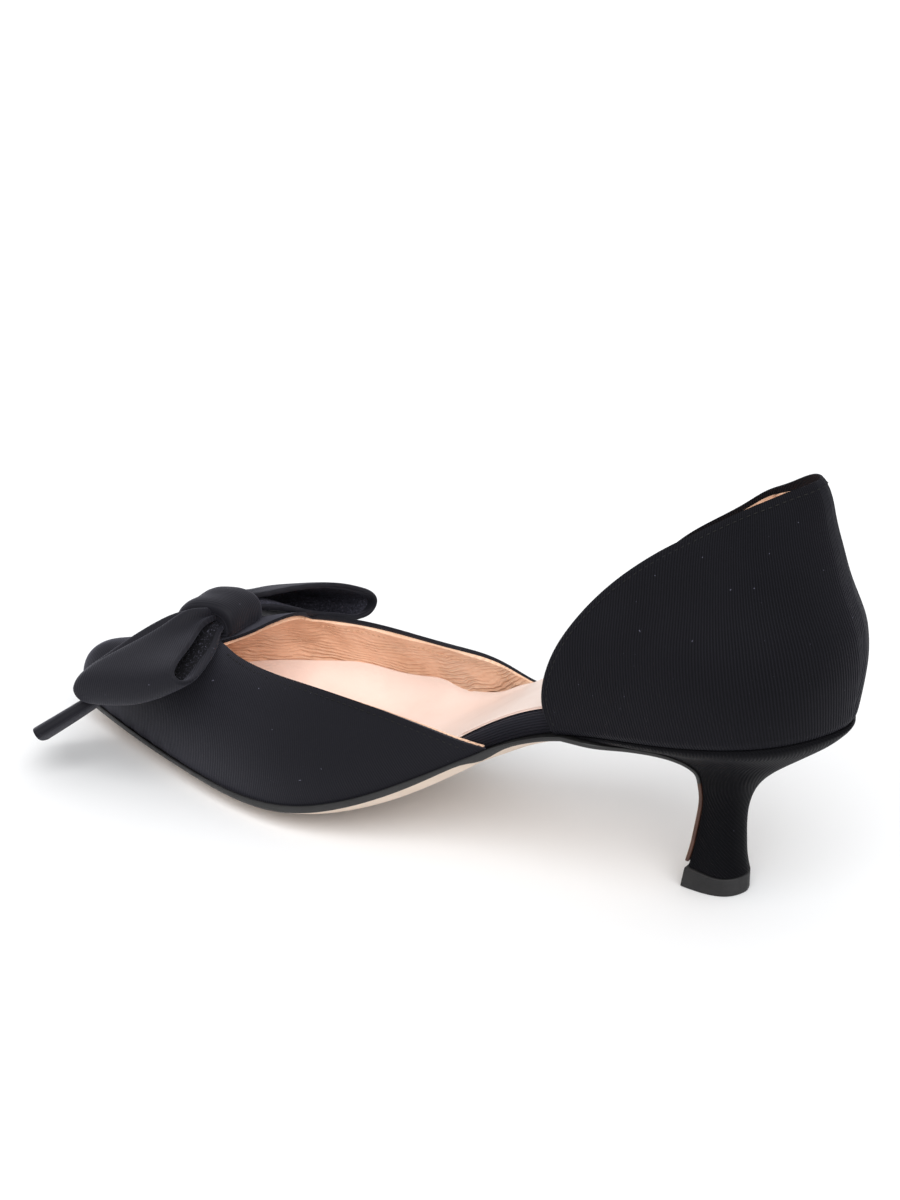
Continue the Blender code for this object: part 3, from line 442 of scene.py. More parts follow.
def faille(name, level=0.0100, pitch=RIB, depth=0.6, rough=0.60, sheen=0.10, wander=0.5, nap=0.35, contrast=1.0, spec=0.10, grain=0.30):
    """Ribbed black cloth: rounded ribs, a little uneven, with a faint nap and pale specks of lint."""
    k = Nodes(name)
    rib = k.attribute("rib")
    uneven = k.math("MULTIPLY_ADD", k.noise(70.0, 2.0), wander, rib)
    wave = k.math("SINE", k.math("MULTIPLY", uneven, 2 * math.pi / pitch))
    wave = k.math("MULTIPLY_ADD", wave, 0.5, 0.5)
    fine = k.noise(3200.0, 3.0, 0.6)
    k.bump(k.math("MULTIPLY_ADD", fine, nap, wave), depth, 0.00022)
    cloud = k.noise(45.0, 3.0, offset=3.0)
    # Partly painted shade: the tone follows the rib height, so the grooves between the ribs are darker; the cloud and
    # the nap grain add random tone on top.
    tone = k.math("MULTIPLY_ADD", wave, 0.52, k.math("MULTIPLY", fine, grain))
    tone = k.math("MULTIPLY_ADD", cloud, 0.35, tone)
    base = k.ramp(tone, [(0.15, grey(level * (1 - 0.45 * contrast))), (0.60, grey(level)), (0.95, grey(level * (1 + 0.42 * contrast)))])
    lint = k.span(k.noise(1100.0, 1.0, 0.4, offset=7.0), 0.80, 0.83, 0.0, 0.8)
    mix = k.tree.nodes.new("ShaderNodeMix")
    mix.data_type = "RGBA"
    mix.inputs["B"].default_value = grey(0.12) + (1.0,)
    k.link(lint, mix.inputs["Factor"])
    k.link(base, mix.inputs["A"])
    k.link(mix.outputs["Result"], k.bsdf.inputs["Base Color"])
    k.set(Roughness=rough, Specular_IOR_Level=spec, Sheen_Weight=sheen, Sheen_Roughness=0.45, Sheen_Tint=(0.60, 0.595, 0.74, 1.0))
    return k.mat


def fuzzy(name, gain=1.0):
    """Unfinished inner side of the ribbon: dark, rough, with a speckle of loose fibres."""
    k = Nodes(name)
    fine = k.noise(1500.0, 4.0, 0.7)
    k.bump(fine, 1.0, 0.0006)
    base = k.ramp(fine, [(0.36, grey(0.006 * gain)), (0.56, grey(0.014 * gain)), (0.70, grey(0.13))])
    k.link(base, k.bsdf.inputs["Base Color"])
    k.set(Roughness=0.9, Specular_IOR_Level=0.15)
    return k.mat


def leather(name, dark, mid, light, rough=0.5, wrinkle=0.6, stretch=(0.22, 1.0, 1.0), spec=0.4, coat=0.0, pores=0.25, scale=260.0):
    """Leather with drawn wrinkles, pores and a cloudy tone."""
    k = Nodes(name)
    folds = k.noise(scale, 5.0, 0.6, stretch)
    pore = k.cells(1500.0)
    k.bump(k.math("MULTIPLY_ADD", pore, pores, folds), wrinkle, 0.0006)
    cloud = k.noise(40.0, 4.0, 0.55, offset=2.0)
    # Partly painted shade: the tone follows the wrinkle height, so the hollows of the wrinkles are darker; the cloud
    # adds random tone.
    tone = k.math("MULTIPLY_ADD", folds, 0.5, k.math("MULTIPLY", cloud, 0.5))
    base = k.ramp(tone, [(0.30, dark), (0.50, mid), (0.72, light)])
    k.link(base, k.bsdf.inputs["Base Color"])
    k.set(Roughness=rough, Specular_IOR_Level=spec, Coat_Weight=coat, Coat_Roughness=0.35)
    return k.mat


def lined(name, dark, mid, light):
    """Thin lining leather: wavy wrinkles along the wall, strongest low down, over fine pores."""
    k = Nodes(name)
    up = k.attribute("rib")
    path = k.math("MULTIPLY_ADD", k.noise(75.0, 3.0, 0.55, (0.45, 1.0, 1.0)), 9.0, up)
    wave = k.math("SINE", k.math("MULTIPLY", path, 2 * math.pi / 1.35))
    patch = k.span(k.noise(110.0, 2.0, 0.5, (0.6, 1.0, 1.0), 4.0), 0.38, 0.62, 0.15, 1.0)
    low = k.span(up, 5.0, 26.0, 1.0, 0.30)
    wave = k.math("MULTIPLY", wave, k.math("MULTIPLY", patch, low))
    fine = k.noise(900.0, 4.0, 0.6, (0.5, 1.0, 1.0))
    k.bump(k.math("MULTIPLY_ADD", fine, 0.5, wave), 1.0, 0.00042)
    cloud = k.noise(60.0, 4.0, 0.55, offset=2.0)
    # Partly painted shade: the wrinkle wave darkens the troughs of the wrinkles a little; the cloud and the fine grain
    # are random tone.
    tone = k.math("MULTIPLY_ADD", wave, 0.10, k.math("MULTIPLY_ADD", fine, 0.25, k.math("MULTIPLY", cloud, 0.75)))
    base = k.ramp(tone, [(0.30, dark), (0.50, mid), (0.72, light)])
    k.link(base, k.bsdf.inputs["Base Color"])
    k.set(Roughness=0.48, Specular_IOR_Level=0.4)
    return k.mat


def painted(name, level, rough, spec=0.5):
    """Dark painted leather edge or moulded rubber with a slight unevenness."""
    k = Nodes(name)
    fine = k.noise(700.0, 4.0, 0.6)
    slow = k.noise(90.0, 2.0, offset=5.0)
    k.bump(k.math("MULTIPLY_ADD", slow, 0.8, fine), 0.35, 0.0003)
    base = k.ramp(slow, [(0.3, grey(level * 0.75, (1.0, 0.98, 1.02))), (0.7, grey(level * 1.2, (1.0, 0.98, 1.02)))])
    k.link(base, k.bsdf.inputs["Base Color"])
    k.link(k.span(fine, 0.3, 0.7, rough - 0.08, rough + 0.08), k.bsdf.inputs["Roughness"])
    k.set(Specular_IOR_Level=spec)
    return k.mat


# One black faille in five copies whose levels differ to paint in light and shade: the heel's copy is darkest (painted
# shade), the bow's and the insole wrap's are lightest (painted light), and the counter's and the vamp's lie between.
FAILLE = faille("faille_counter", level=0.0054, depth=0.75, contrast=1.5, sheen=0.05, spec=0.06)
FAILLE_VAMP = faille("faille_vamp", level=0.0062, pitch=0.80, depth=0.20, wander=1.4, nap=0.8, contrast=0.34, sheen=0.25, spec=0.08, grain=0.62)
FAILLE_HEEL_SHADED = faille("faille_heel_shaded", level=0.0027, contrast=1.2, sheen=0.02, spec=0.05)
FAILLE_BOW = faille("faille_bow", level=0.0094, pitch=0.80, depth=0.28, wander=0.8, nap=0.6, contrast=0.4, sheen=0.12, spec=0.11, grain=0.5)
FAILLE_WRAP_LIT = faille("faille_wrap_lit", level=0.0125, contrast=1.2, depth=0.8, sheen=0.08, spec=0.09)
# Two copies of the ribbon's inner side: the right loop's is about five times lighter than the left's, painted light on
# the inside of the right loop.
INSIDE = fuzzy("ribbon_inside", 0.7)
INSIDE_RIGHT_LIT = fuzzy("ribbon_inside_right_lit", 3.6)
THREAD = painted("thread_black", 0.0085, 0.6, 0.2)
LINING = lined("lining_tan", (0.66, 0.385, 0.240), (0.82, 0.520, 0.355), (0.88, 0.600, 0.435))
THREAD_TAN = leather("thread_tan", (0.50, 0.29, 0.17), (0.64, 0.40, 0.25), (0.74, 0.48, 0.32), rough=0.6, wrinkle=0.4)
SOCKING = leather("sock_pale", (0.84, 0.675, 0.60), (0.885, 0.73, 0.655), (0.905, 0.765, 0.70), rough=0.46, wrinkle=0.10, stretch=(0.6, 1.0, 1.0), pores=0.5, scale=120.0)
SOLE = leather("sole_tan", (0.58, 0.47, 0.385), (0.685, 0.56, 0.46), (0.755, 0.63, 0.53), rough=0.5, wrinkle=0.25, pores=0.3)
EDGE_PAINT = painted("edge_paint", 0.0125, 0.42)
FLAP_EDGE = leather("flap_edge", (0.026, 0.012, 0.009), (0.055, 0.024, 0.016), (0.11, 0.050, 0.032), rough=0.5, wrinkle=0.4)
RUBBER = painted("top_rubber", 0.0205, 0.62, 0.30)


# --------------------------------------------------------------- vamp shape
def vamp_rise(x):
    t = np.clip((x - TOE_ROUND_FROM) / (LENGTH - TOE_ROUND_FROM), 0, 1)
    return ridge_rise(x) * np.sqrt(np.maximum(1 - t ** 4, 0))


def vamp_powers(x):
    t = smooth(x, 205, 250)
    return tuple(p[0] + (p[1] - p[0]) * t for p in (SIDE_POWER, TOP_POWER))


def vamp_point(x, phi):
    x, phi = np.broadcast_arrays(np.asarray(x, float), np.asarray(phi, float))
    c, s = np.cos(np.pi * phi), np.abs(np.sin(np.pi * phi))
    mid, half = (last.left(x) + last.right(x)) / 2, (last.left(x) - last.right(x)) / 2
    side, top = vamp_powers(x)
    up = vamp_rise(x) * s ** top
    fuller = 1.0 * smooth(x, 105, 150) * (1 - smooth(x, 225, 257)) * np.sin(np.pi * np.clip(up / 24, 0, 1))
    y = mid + np.sign(c) * (np.abs(c) ** side * half + fuller * np.abs(c))
    out = TOE_OVERHANG * smooth(x, 228, 256) * np.sin(np.pi * np.clip(up / 22, 0, 1))
    return np.stack([x + out, y, feather(x) + up], -1)


def vamp_normal(x, phi):
    x, phi = np.broadcast_arrays(np.asarray(x, float), np.asarray(phi, float))
    p, q = np.clip(phi, 0.012, 0.988), np.clip(x, None, LENGTH - 0.12)
    du = vamp_point(q + 0.06, p) - vamp_point(q - 0.06, p)
    dv = vamp_point(q, p + 0.004) - vamp_point(q, p - 0.004)
    n = unit(np.cross(dv, du))
    n[x >= LENGTH - 0.01] = (1.0, 0.0, 0.0)
    return n


def vamp_top(x, y):
    mid, half = (last.left(x) + last.right(x)) / 2, (last.left(x) - last.right(x)) / 2
    side, top = vamp_powers(x)
    c = np.clip(np.abs(y - mid) / half, 0, 1) ** (1 / side)
    return feather(x) + vamp_rise(x) * np.sqrt(1 - c * c) ** top


def wing_phi(x, top_edge, drop=0.0):
    top = np.maximum(top_edge(x) - drop, feather(x) + WING_END_HEIGHT * np.where(np.asarray(drop) > 0.2, 0.5, 1.0))
    share = np.clip((top - feather(x)) / vamp_rise(x), 0, 1)
    return np.arcsin(share ** (1 / vamp_powers(x)[1])) / np.pi


def vamp_patches(side, throat, rows, wing_rows, drop=(0.0, 0.0, 0.0), rear=0.0):
    """Grids of (x, phi) for the arch over the toe and for the two wings; drop lowers
    the top edge on the left, on the right and at the throat."""
    left_c = float(wing_phi(THROAT_LEFT, wing_top_left, drop[0]))
    right_c = float(wing_phi(THROAT_RIGHT, wing_top_right, drop[1]))
    start = np.concatenate([
        np.linspace(0, left_c, side + 1),
        np.linspace(left_c, 1 - right_c, throat + 1)[1:],
        np.linspace(1 - right_c, 1, side + 1)[1:]])
    even = np.linspace(0, 1, 2 * side + throat + 1)
    share = np.clip((start - left_c) / (1 - right_c - left_c), 0, 1)
    bow = np.sin(np.pi * share) ** 0.7
    first = THROAT_RIGHT + (THROAT_LEFT - THROAT_RIGHT) * (1 - share) ** 4.5 + THROAT_DEPTH * bow + drop[2] * smooth(bow, 0, 0.6)
    go = np.sin(0.5 * np.pi * np.linspace(0, 1, rows + 1))
    xs = first[None, :] + (LENGTH - first[None, :]) * go[:, None]
    ph = start[None, :] + (even - start)[None, :] * np.linspace(0, 1, rows + 1)[:, None] ** 0.8
    patches = [(xs, ph)]
    for end, front, top_edge, right in ((WING_END_LEFT, THROAT_LEFT, wing_top_left, False), (WING_END_RIGHT, THROAT_RIGHT, wing_top_right, True)):
        end = end + rear
        wx = end + (front - end) * np.linspace(0, 1, wing_rows + 1) ** 1.15
        share = wing_phi(wx, top_edge, drop[1] * smooth(wx, 108, 165) if right else drop[0])
        wp = share[:, None] * np.linspace(0, 1, side + 1)[None, :]
        if right:
            wp = 1 - wp[:, ::-1]
        patches.append((np.repeat(wx[:, None], side + 1, 1), wp))
    return patches


def vamp_shell(build, patches, outer, inner, rib=None):
    """Closed wall between two offsets from the outside of the vamp."""
    side = patches[1][0].shape[1] - 1
    throat = patches[0][0].shape[1] - 1 - 2 * side
    ids = []
    for x, p in patches:
        base, n = vamp_point(x, p), vamp_normal(x, p)
        out, inn = base - outer(x, p)[..., None] * n, base - inner(x, p)[..., None] * n
        low = (p < 1e-6) | (p > 1 - 1e-6) | (x > LENGTH - 0.01)
        inn[..., 2] = np.where(low, out[..., 2], inn[..., 2])
        r = rib(out) if rib else 0.0
        ids.append((build.grid(out, r), build.grid(inn, r, flip=True)))
    (ao, ai), (lo, li), (ro, ri) = ids
    build.strip(ao[0, side:side + throat + 1], ai[0, side:side + throat + 1], flip=True)
    for a, b, flip in ((ao[:, 0], ai[:, 0], False), (ao[:, -1], ai[:, -1], True), (lo[:, 0], li[:, 0], False),
                       (lo[:, -1], li[:, -1], True), (lo[0], li[0], True), (ro[:, -1], ri[:, -1], True),
                       (ro[:, 0], ri[:, 0], False), (ro[0], ri[0], True)):
        build.strip(a, b, flip=flip)


_fx = np.linspace(60, 275, 2000)
_slope = np.gradient(feather(_fx), _fx)
_run = np.concatenate([[0.0], np.cumsum(np.sqrt(1 + ((_slope[1:] + _slope[:-1]) / 2) ** 2) * np.diff(_fx))])


def vamp_rib(p):
    """Ribs of the vamp stand square on the feather edge and pass over the toe from side to side."""
    x, z = p[..., 0], p[..., 2]
    foot = x + 0.95 * np.interp(x, _fx, _slope) * (z - feather(x))
    return np.interp(foot, _fx, _run)


def vamp_soft(x, p):
    """Shallow unevenness of the lasted cloth: draws along the feather edge and slow waves, in mm inwards."""
    up = vamp_rise(x) * np.abs(np.sin(np.pi * p)) ** 0.8
    draws = 0.10 * np.sin(x / 1.25 + 9 * p) * np.exp(-(up / 3.2) ** 2) * smooth(x, 195, 225)
    waves = 0.16 * np.sin(x / 11.0 + 6.0 * p) * np.sin(x / 17.0 - 9.0 * p + 1.0)
    return np.clip(draws + waves, -0.3, 0.3)


def build_vamp():
    b = Build()
    vamp_shell(b, vamp_patches(30, 44, 110, 110), vamp_soft, lambda x, p: np.full_like(x, FABRIC), vamp_rib)
    b.piece("vamp_fabric", [FAILLE_VAMP], ["upper_vamp"], bevel=0.42)

    def wrinkled(x, p):
        left = p < 0.5
        up = (vamp_point(x, p)[..., 2] - feather(x))
        low = np.exp(-((up - 6.0) / 7.0) ** 2)
        rear = 1 - smooth(x, 120, 165)
        folds = 0.30 * np.sin(up / 0.95 + 0.9 * np.sin(x / 5.0) + x / 14.0) * low * (0.35 + 0.65 * rear)
        draws = 0.26 * np.sin(x / 1.9 + 0.7 * np.sin(up / 2.6)) * smooth(x, 168, 184) * np.exp(-((up - 22) / 12.0) ** 2)
        slow = 0.22 * np.sin(x / 7.5 + up / 6.0) + 0.12 * np.sin(x / 3.1 - up / 2.3)
        return VAMP_WALL + 0.1 + np.where(left, 0.4, 1.0) * (folds + draws + slow) * smooth(up, 0.0, 3.0) * (1 - smooth(x, 225, 245))

    b = Build()
    vamp_shell(b, vamp_patches(64, 44, 90, 150, drop=(-0.12, 0.60, 0.9), rear=0.8), lambda x, p: np.full_like(x, FABRIC + 0.1), wrinkled,
               lambda q: q[..., 2] - feather(q[..., 0]))
    b.piece("vamp_lining", [LINING], bevel=0.25)


# ------------------------------------------------------------ counter shape
_arc = np.concatenate([[0.0], np.cumsum(np.linalg.norm(np.diff(last.points, axis=0), axis=1))])
_arc -= _arc[last.back]


def arc_at(x, left):
    k = last.back
    if left:
        return np.interp(x, last.points[:k + 1, 0][::-1], _arc[:k + 1][::-1])
    return np.interp(x, last.points[k:, 0], _arc[k:])


def lean(h, bulge, tip):
    q = h / COUNTER_SCALE
    return 1.04 * bulge * np.sin(np.pi * np.clip(q / 0.75, 0, 1)) * (1 - smooth(q / 0.75, 0.55, 1.0)) + tip * np.clip((q - 0.25) / 0.75, 0, 1.5) ** 1.7


def counter_point(arc, h):
    arc, h = np.broadcast_arrays(np.asarray(arc, float), np.asarray(h, float))
    x = np.interp(arc, _arc, last.points[:, 0])
    y = np.interp(arc, _arc, last.points[:, 1])
    half = np.where(y > 0, COUNTER_HALF[0], COUNTER_HALF[1])
    near = 1 - smooth(x, 0, BACK_REACH)
    back = lean(h, BACK_BULGE, BACK_LEAN) + 1.3 * np.exp(-((h - 64.0) / 7.0) ** 2)
    return np.stack([x - back * near,
                     y * (1 + lean(h, SIDE_BULGE, SIDE_LEAN) / half), feather(x) + h], -1)


def counter_normal(arc, h):
    du = counter_point(arc + 0.4, h) - counter_point(arc - 0.4, h)
    dv = counter_point(arc, h + 0.2) - counter_point(arc, h - 0.2)
    return unit(np.cross(du, dv))


def counter_edge(half, drop=0.0, turned=0.0):
    """Foot arc, top arc and height of the counter's columns, left front to right front."""
    t = along(np.array(COUNTER_TOP))
    u = np.linspace(0, t[-1], half + 1)
    tx = np.maximum(spline(t, column(COUNTER_TOP, 0))(u), 0)
    th = spline(t, column(COUNTER_TOP, 1))(u)
    th = th - 0.7 * np.exp(-(tx / 5.0) ** 2)
    f = u / t[-1]
    sides = []
    for left in (True, False):
        top = arc_at(tx, left)
        base = arc_at(COUNTER_TOP[0][0], left) * (1 - f ** 1.12)
        top[-1] = base[-1] = 0.0
        dip = COUNTER_RIGHT_DROP * np.sin(np.pi * np.clip(tx / 80, 0, 1)) ** 2.6 - 1.8 * np.exp(-((tx - 35) / 9.5) ** 2)
        high = th if left else th - dip * smooth(th, 5, 40)
        if drop:
            line = np.stack([top, high], -1)
            d = unit(np.gradient(line, axis=0))
            n = np.stack([d[:, 1], -d[:, 0]], -1) * (1 if left else -1)
            n[-1] = (0, -1)
            deep = drop + turned * np.exp(-(tx / 24.0) ** 2)
            line = line + deep[:, None] * n
            line[-1, 0] = 0.0
            top, high = line[:, 0], np.maximum(line[:, 1], 0.3)
        sides.append((base, top, high))
    return tuple(np.concatenate([l, r[::-1][1:]]) for l, r in zip(*sides))


def counter_grid(half, up, drop=0.0, turned=0.0):
    base, top, high = counter_edge(half, drop, turned)
    v = np.linspace(0, 1, up + 1)
    arc = base[:, None] + (top - base)[:, None] * v[None, :]
    return arc, high[:, None] * v[None, :], high[:, None] * (1 - v[None, :])


def counter_rib(arc, h):
    """Upright ribs, tipping back towards the foot of the counter."""
    x = np.interp(arc, _arc, last.points[:, 0])
    tip = 0.05 * h + 0.19 * 30.0 * (1 - np.exp(-h / 30.0))
    return np.where(arc < 0, 1, 1) * np.abs(arc) - tip


def shell(build, out, inn, rib=0.0):
    o, i = build.grid(out, rib), build.grid(inn, rib, flip=True)
    build.strip(o[:, 0], i[:, 0])
    build.strip(o[:, -1], i[:, -1], flip=True)
    build.strip(o[0], i[0], flip=True)
    build.strip(o[-1], i[-1])


def build_counter():
    arc, h, down = counter_grid(130, 64)
    n = counter_normal(arc, h)
    seam = 0.30 * np.exp(-(arc / 0.55) ** 2) - 0.12 * np.exp(-((np.abs(arc) - 1.6) / 0.8) ** 2)
    pucker = 0.07 * np.sin(h / 0.9) * np.exp(-(arc / 2.5) ** 2)
    roll = 0.45 * np.clip(1 - down / 2.0, 0, 1) ** 2
    waves = 0.14 * np.sin(arc / 13.0 + h / 19.0) * np.sin(h / 11.0 - arc / 23.0)
    welt = 0.12 * np.exp(-((down - STITCH_DOWN) / 0.5) ** 2)
    tuck = 0.85 * np.exp(-(h / 1.1) ** 2)
    outer = np.minimum(seam + pucker + roll + waves * smooth(h, 0, 8) + welt + tuck, FABRIC - 0.12)
    b = Build()
    shell(b, counter_point(arc, h) - outer[..., None] * n, counter_point(arc, h) - FABRIC * n, counter_rib(arc, h))
    b.piece("counter_fabric", [FAILLE], ["upper_counter"], bevel=0.40)

    arc, h, down = counter_grid(100, 50, 1.35, 2.4)
    foot = np.minimum(0.9, 0.4 * h[:, -1:])
    h = foot + h * (1 - foot / h[:, -1:])
    n = counter_normal(arc, h)
    wall = COUNTER_WALL - COUNTER_SKIVE * smooth(h, 25, 64)
    folds = 0.16 * np.sin(arc / 4.0 + h / 9.0) + 0.08 * np.sin(arc / 1.7 - h / 5.0)
    b = Build()
    shell(b, counter_point(arc, h) - (FABRIC + 0.1) * n, counter_point(arc, h) - (wall + folds * smooth(h, 1, 6))[..., None] * n)
    b.piece("counter_lining", [LINING], bevel=0.2)


# ------------------------------------------------------------------ stitches
def stitch_row(name, points, normals, mats, pitch=STITCH, long=1.45, thick=0.34, sink=0.05):
    """Small thread loops along a line, each a slim bead that dips into the cloth at its ends."""
    s = along(points)
    count = max(int(s[-1] / pitch), 2)
    b = Build()
    a = np.linspace(0, 2 * np.pi, 8, endpoint=False)
    for k in range(count):
        c = (k + 0.5) * s[-1] / count
        at = np.array([[np.interp(c + d, s, points[:, i]) for i in range(3)] for d in (-0.5 * long, 0.0, 0.5 * long)])
        n = unit(np.array([np.interp(c, s, normals[:, i]) for i in range(3)]))
        t = unit(at[2] - at[0])
        w = np.cross(n, t)
        rings = []
        for q in np.linspace(-1, 1, 7):
            r = 0.5 * thick * math.sqrt(max(1 - q * q, 0.0)) + 0.004
            mid = at[1] + t * (0.5 * long * q) + n * (0.12 - 0.20 * q * q - sink)
            rings.append(mid + r * (np.cos(a)[:, None] * w + np.sin(a)[:, None] * n))
        ids = b.grid(np.array(rings), wrap=True)
        for ring, flip in ((ids[0], True), (ids[-1], False)):
            b.fan(ring, flip=flip)
    return b.piece(name, mats)


def wing_line(top_edge, right, down, x0, x1, offset):
    """Line on a wing at a distance below its top edge."""
    xs = np.linspace(x0, x1, 240)
    share = wing_phi(xs, top_edge)
    pts, nor = [], []
    for x, c in zip(xs, share):
        ph = np.linspace(c, 0, 80)
        ph = 1 - ph if right else ph
        col = vamp_point(np.full_like(ph, x), ph)
        p = np.interp(down, along(col), ph)
        n = vamp_normal(np.array([x]), np.array([p]))[0]
        pts.append(vamp_point(x, p) - offset * n)
        nor.append(n)
    return np.array(pts), np.array(nor)


def build_stitches():
    p, n = wing_line(wing_top_left, False, STITCH_DOWN, 104.0, 194.0, -0.02)
    stitch_row("stitches_wing_left", p, n, [THREAD])
    p, n = wing_line(wing_top_right, True, STITCH_DOWN, 106.0, 191.0, -0.02)
    stitch_row("stitches_wing_right", p, n, [THREAD])
    p, n = wing_line(wing_top_right, True, 3.4, 107.0, 190.0, VAMP_WALL + 0.12)
    stitch_row("stitches_lining_right", p, -n, [THREAD_TAN], pitch=1.9)
    p, n = wing_line(wing_top_left, False, 3.4, 109.0, 190.0, VAMP_WALL + 0.12)
    stitch_row("stitches_lining_left", p, -n, [THREAD_TAN], pitch=1.9)
    base, top, high = counter_edge(260, STITCH_DOWN)
    keep = high > 2.5
    arc, h = top[keep], high[keep]
    n = counter_normal(arc, h)
    stitch_row("stitches_counter", counter_point(arc, h) - 0.10 * n, n, [THREAD])


# --------------------------------------------------------- insole and sock
def ringed(name, edge, count, top, bottom, ease, mats, stands_for, across=24, ribbed=False):
    """Thin plate with rounded upper edges, in rings across the shoe."""
    xs = ends_fine(edge.lo + 0.05, edge.hi - 0.05, count)
    rings, ribs = [], []
    q = np.linspace(0, 0.5 * np.pi, 6)
    for x in xs:
        l, r = float(edge.left(x)), float(edge.right(x))
        mid, half = (l + r) / 2, (l - r) / 2
        e = min(ease, 0.45 * half)
        v = np.linspace(1, -1, across + 1)
        yt, yb = v * (half - e), v * half
        zt, zb = top(np.full_like(v, x), v), bottom(np.full_like(v, x), v)
        side_z = zt[0] - min(ease, 0.8 * (zt[0] - zb[0]))
        left = np.stack([half - e + e * np.sin(q[::-1]), side_z + (zt[0] - side_z) * np.cos(q[::-1])], -1)[:-1]
        right = np.stack([-half + e - e * np.sin(q), side_z + (zt[-1] - side_z) * np.cos(q)], -1)[1:]
        ring = np.vstack([left, np.stack([yt, zt], -1), right, np.stack([yb[::-1], zb[::-1]], -1)])
        rings.append(np.stack([np.full(len(ring), x), mid + ring[:, 0], ring[:, 1]], -1))
        up = along(ring[:len(left) + across + 1 + len(right)])
        rib = np.concatenate([np.minimum(up, up[-1] - up), np.full(across + 1, 0.0)])
        rib[:len(up)] += side_z - zb[0]
        ribs.append(rib)
    b = Build()
    ids = b.grid(np.array(rings), np.array(ribs) if ribbed else 0.0, wrap=True)
    b.fan(ids[0], flip=True)
    b.fan(ids[-1])
    return b.piece(name, mats, stands_for)


def build_insole():
    # The insole wrap takes the lightest faille copy: painted light.
    ringed("insole_wrap", Edge(-(COUNTER_WALL + GAP)), 200,
           lambda x, v: feather(x) + board(x) - crown(x) * (1 - v * v),
           lambda x, v: feather(x) - crown(x) * (1 - v * v),
           1.7, [FAILLE_WRAP_LIT], ["insole_board"], ribbed=True)

    build_sock()


def wall_inside(x, z, right, inset):
    """y of the lining's inner face at a height, moved further in."""
    ph = np.linspace(0.02, 0.46, 120)
    col = vamp_point(np.full_like(ph, x), 1 - ph if right else ph)
    nor = vamp_normal(np.full_like(ph, x), 1 - ph if right else ph)
    col = col - (VAMP_WALL + inset) * nor
    return float(np.interp(z, col[:, 2], col[:, 1]))


def build_sock():
    """Pale sock on the insole; in the forefoot its sides turn up against the lining."""
    edge = Edge(-(COUNTER_WALL + GAP + 1.3))
    turn = spline(column(SOCK_TURN, 0), column(SOCK_TURN, 1))
    rings = []
    q = np.linspace(0, 0.5 * np.pi, 14)
    for x in ends_fine(edge.lo + 0.05, edge.hi - 0.05, 240):
        l, r = float(edge.left(x)), float(edge.right(x))
        mid, half = (l + r) / 2, (l - r) / 2
        flat = float(feather(x) + board(x) + GAP + SOCK)
        up = max(float(turn(x)) - flat, 0.0) * float(smooth(x, 104, 116)) * (1 - float(smooth(x, 236, 256)))
        sides = []
        for right, y_edge, share in ((False, l, 0.75), (True, r, 1.0)):
            rise = up * share
            end = y_edge
            if rise > 0.05:
                inside = wall_inside(x, flat + rise, right, 0.75)
                end = y_edge + (inside - y_edge) * float(smooth(rise, 0.0, 4.0))
            sides.append((end, rise))
        (yl, zl), (yr, zr) = sides
        reach_l, reach_r = (min(15.0 * float(smooth(z, 0, 6)) + 0.8, 0.7 * half) for z in (zl, zr))
        centre = np.linspace(1, 0, 24)
        y0, y1 = yl - reach_l, yr + reach_r
        yc = y1 + (y0 - y1) * centre
        sag = crown(x) * (1 - np.clip((yc - mid) / half, -1, 1) ** 2)
        lift = 1.6 * float(smooth(x, 128, 146)) * (1 - float(smooth(x, 205, 235)))
        zc = flat - sag + lift + 0.06 * np.sin(x / 9.0 + yc / 8.0)
        left = np.stack([y0 + reach_l * np.sin(q[1:]), zc[0] + (flat + zl - zc[0] - 0.12) * (1 - np.cos(q[1:]))], -1)[::-1]
        right_ = np.stack([y1 - reach_r * np.sin(q[1:]), zc[-1] + (flat + zr - zc[-1] - 0.12) * (1 - np.cos(q[1:]))], -1)
        top = np.vstack([left, np.stack([yc, zc], -1), right_])
        tang = unit(np.gradient(top, axis=0))
        nor = np.stack([tang[:, 1], -tang[:, 0]], -1)
        nor = np.where(nor[:, 1:2] > 0, -nor, nor) if up < 0.05 else nor
        low = top + 0.9 * np.where(nor[len(nor) // 2, 1] > 0, -1, 1) * nor
        ring = np.vstack([top, low[::-1]])
        rings.append(np.stack([np.full(len(ring), x), ring[:, 0], ring[:, 1]], -1))
    b = Build()
    ids = b.grid(np.array(rings), wrap=True)
    b.fan(ids[0], flip=True)
    b.fan(ids[-1])
    b.piece("sock", [SOCKING], ["insole_sock"], bevel=0.3)


# --------------------------------------------------------- heel and outsole
heel_front = spline(column(HEEL, 0), column(HEEL, 1))
heel_back = spline(column(HEEL, 0), column(HEEL, 2))
heel_half = spline(column(HEEL, 0), column(HEEL, 3))
HEEL_FOOT = TOP_PIECE + GAP


def heel_z(x, q):
    tilt = FOOT_TILT * smooth(x, 33, 44) * (1 - smooth(q, 0.0, 0.22))
    return HEEL_FOOT + (feather(x) - GAP - HEEL_FOOT) * q + tilt


def heel_outline(count):
    seat = last.points[last.points[:, 0] <= SEAT_FRONT]
    t = along(seat)
    u = np.linspace(0, t[-1], count + 1)
    x, y = np.interp(u, t, seat[:, 0]), np.interp(u, t, seat[:, 1])
    x, y = (x + x[::-1]) / 2, (y - y[::-1]) / 2
    return x / SEAT_FRONT, y / y.max()


def heel_loop(q, sx, sy):
    f, b, w = float(heel_front(q)), float(heel_back(q)), float(heel_half(q))
    x = b + (f - b) * sx
    mid = (last.left(x) + last.right(x)) / 2
    y = w * sy + mid * float(smooth(q, 0.6, 0.97))
    return np.stack([x, y, heel_z(x, q)], -1)


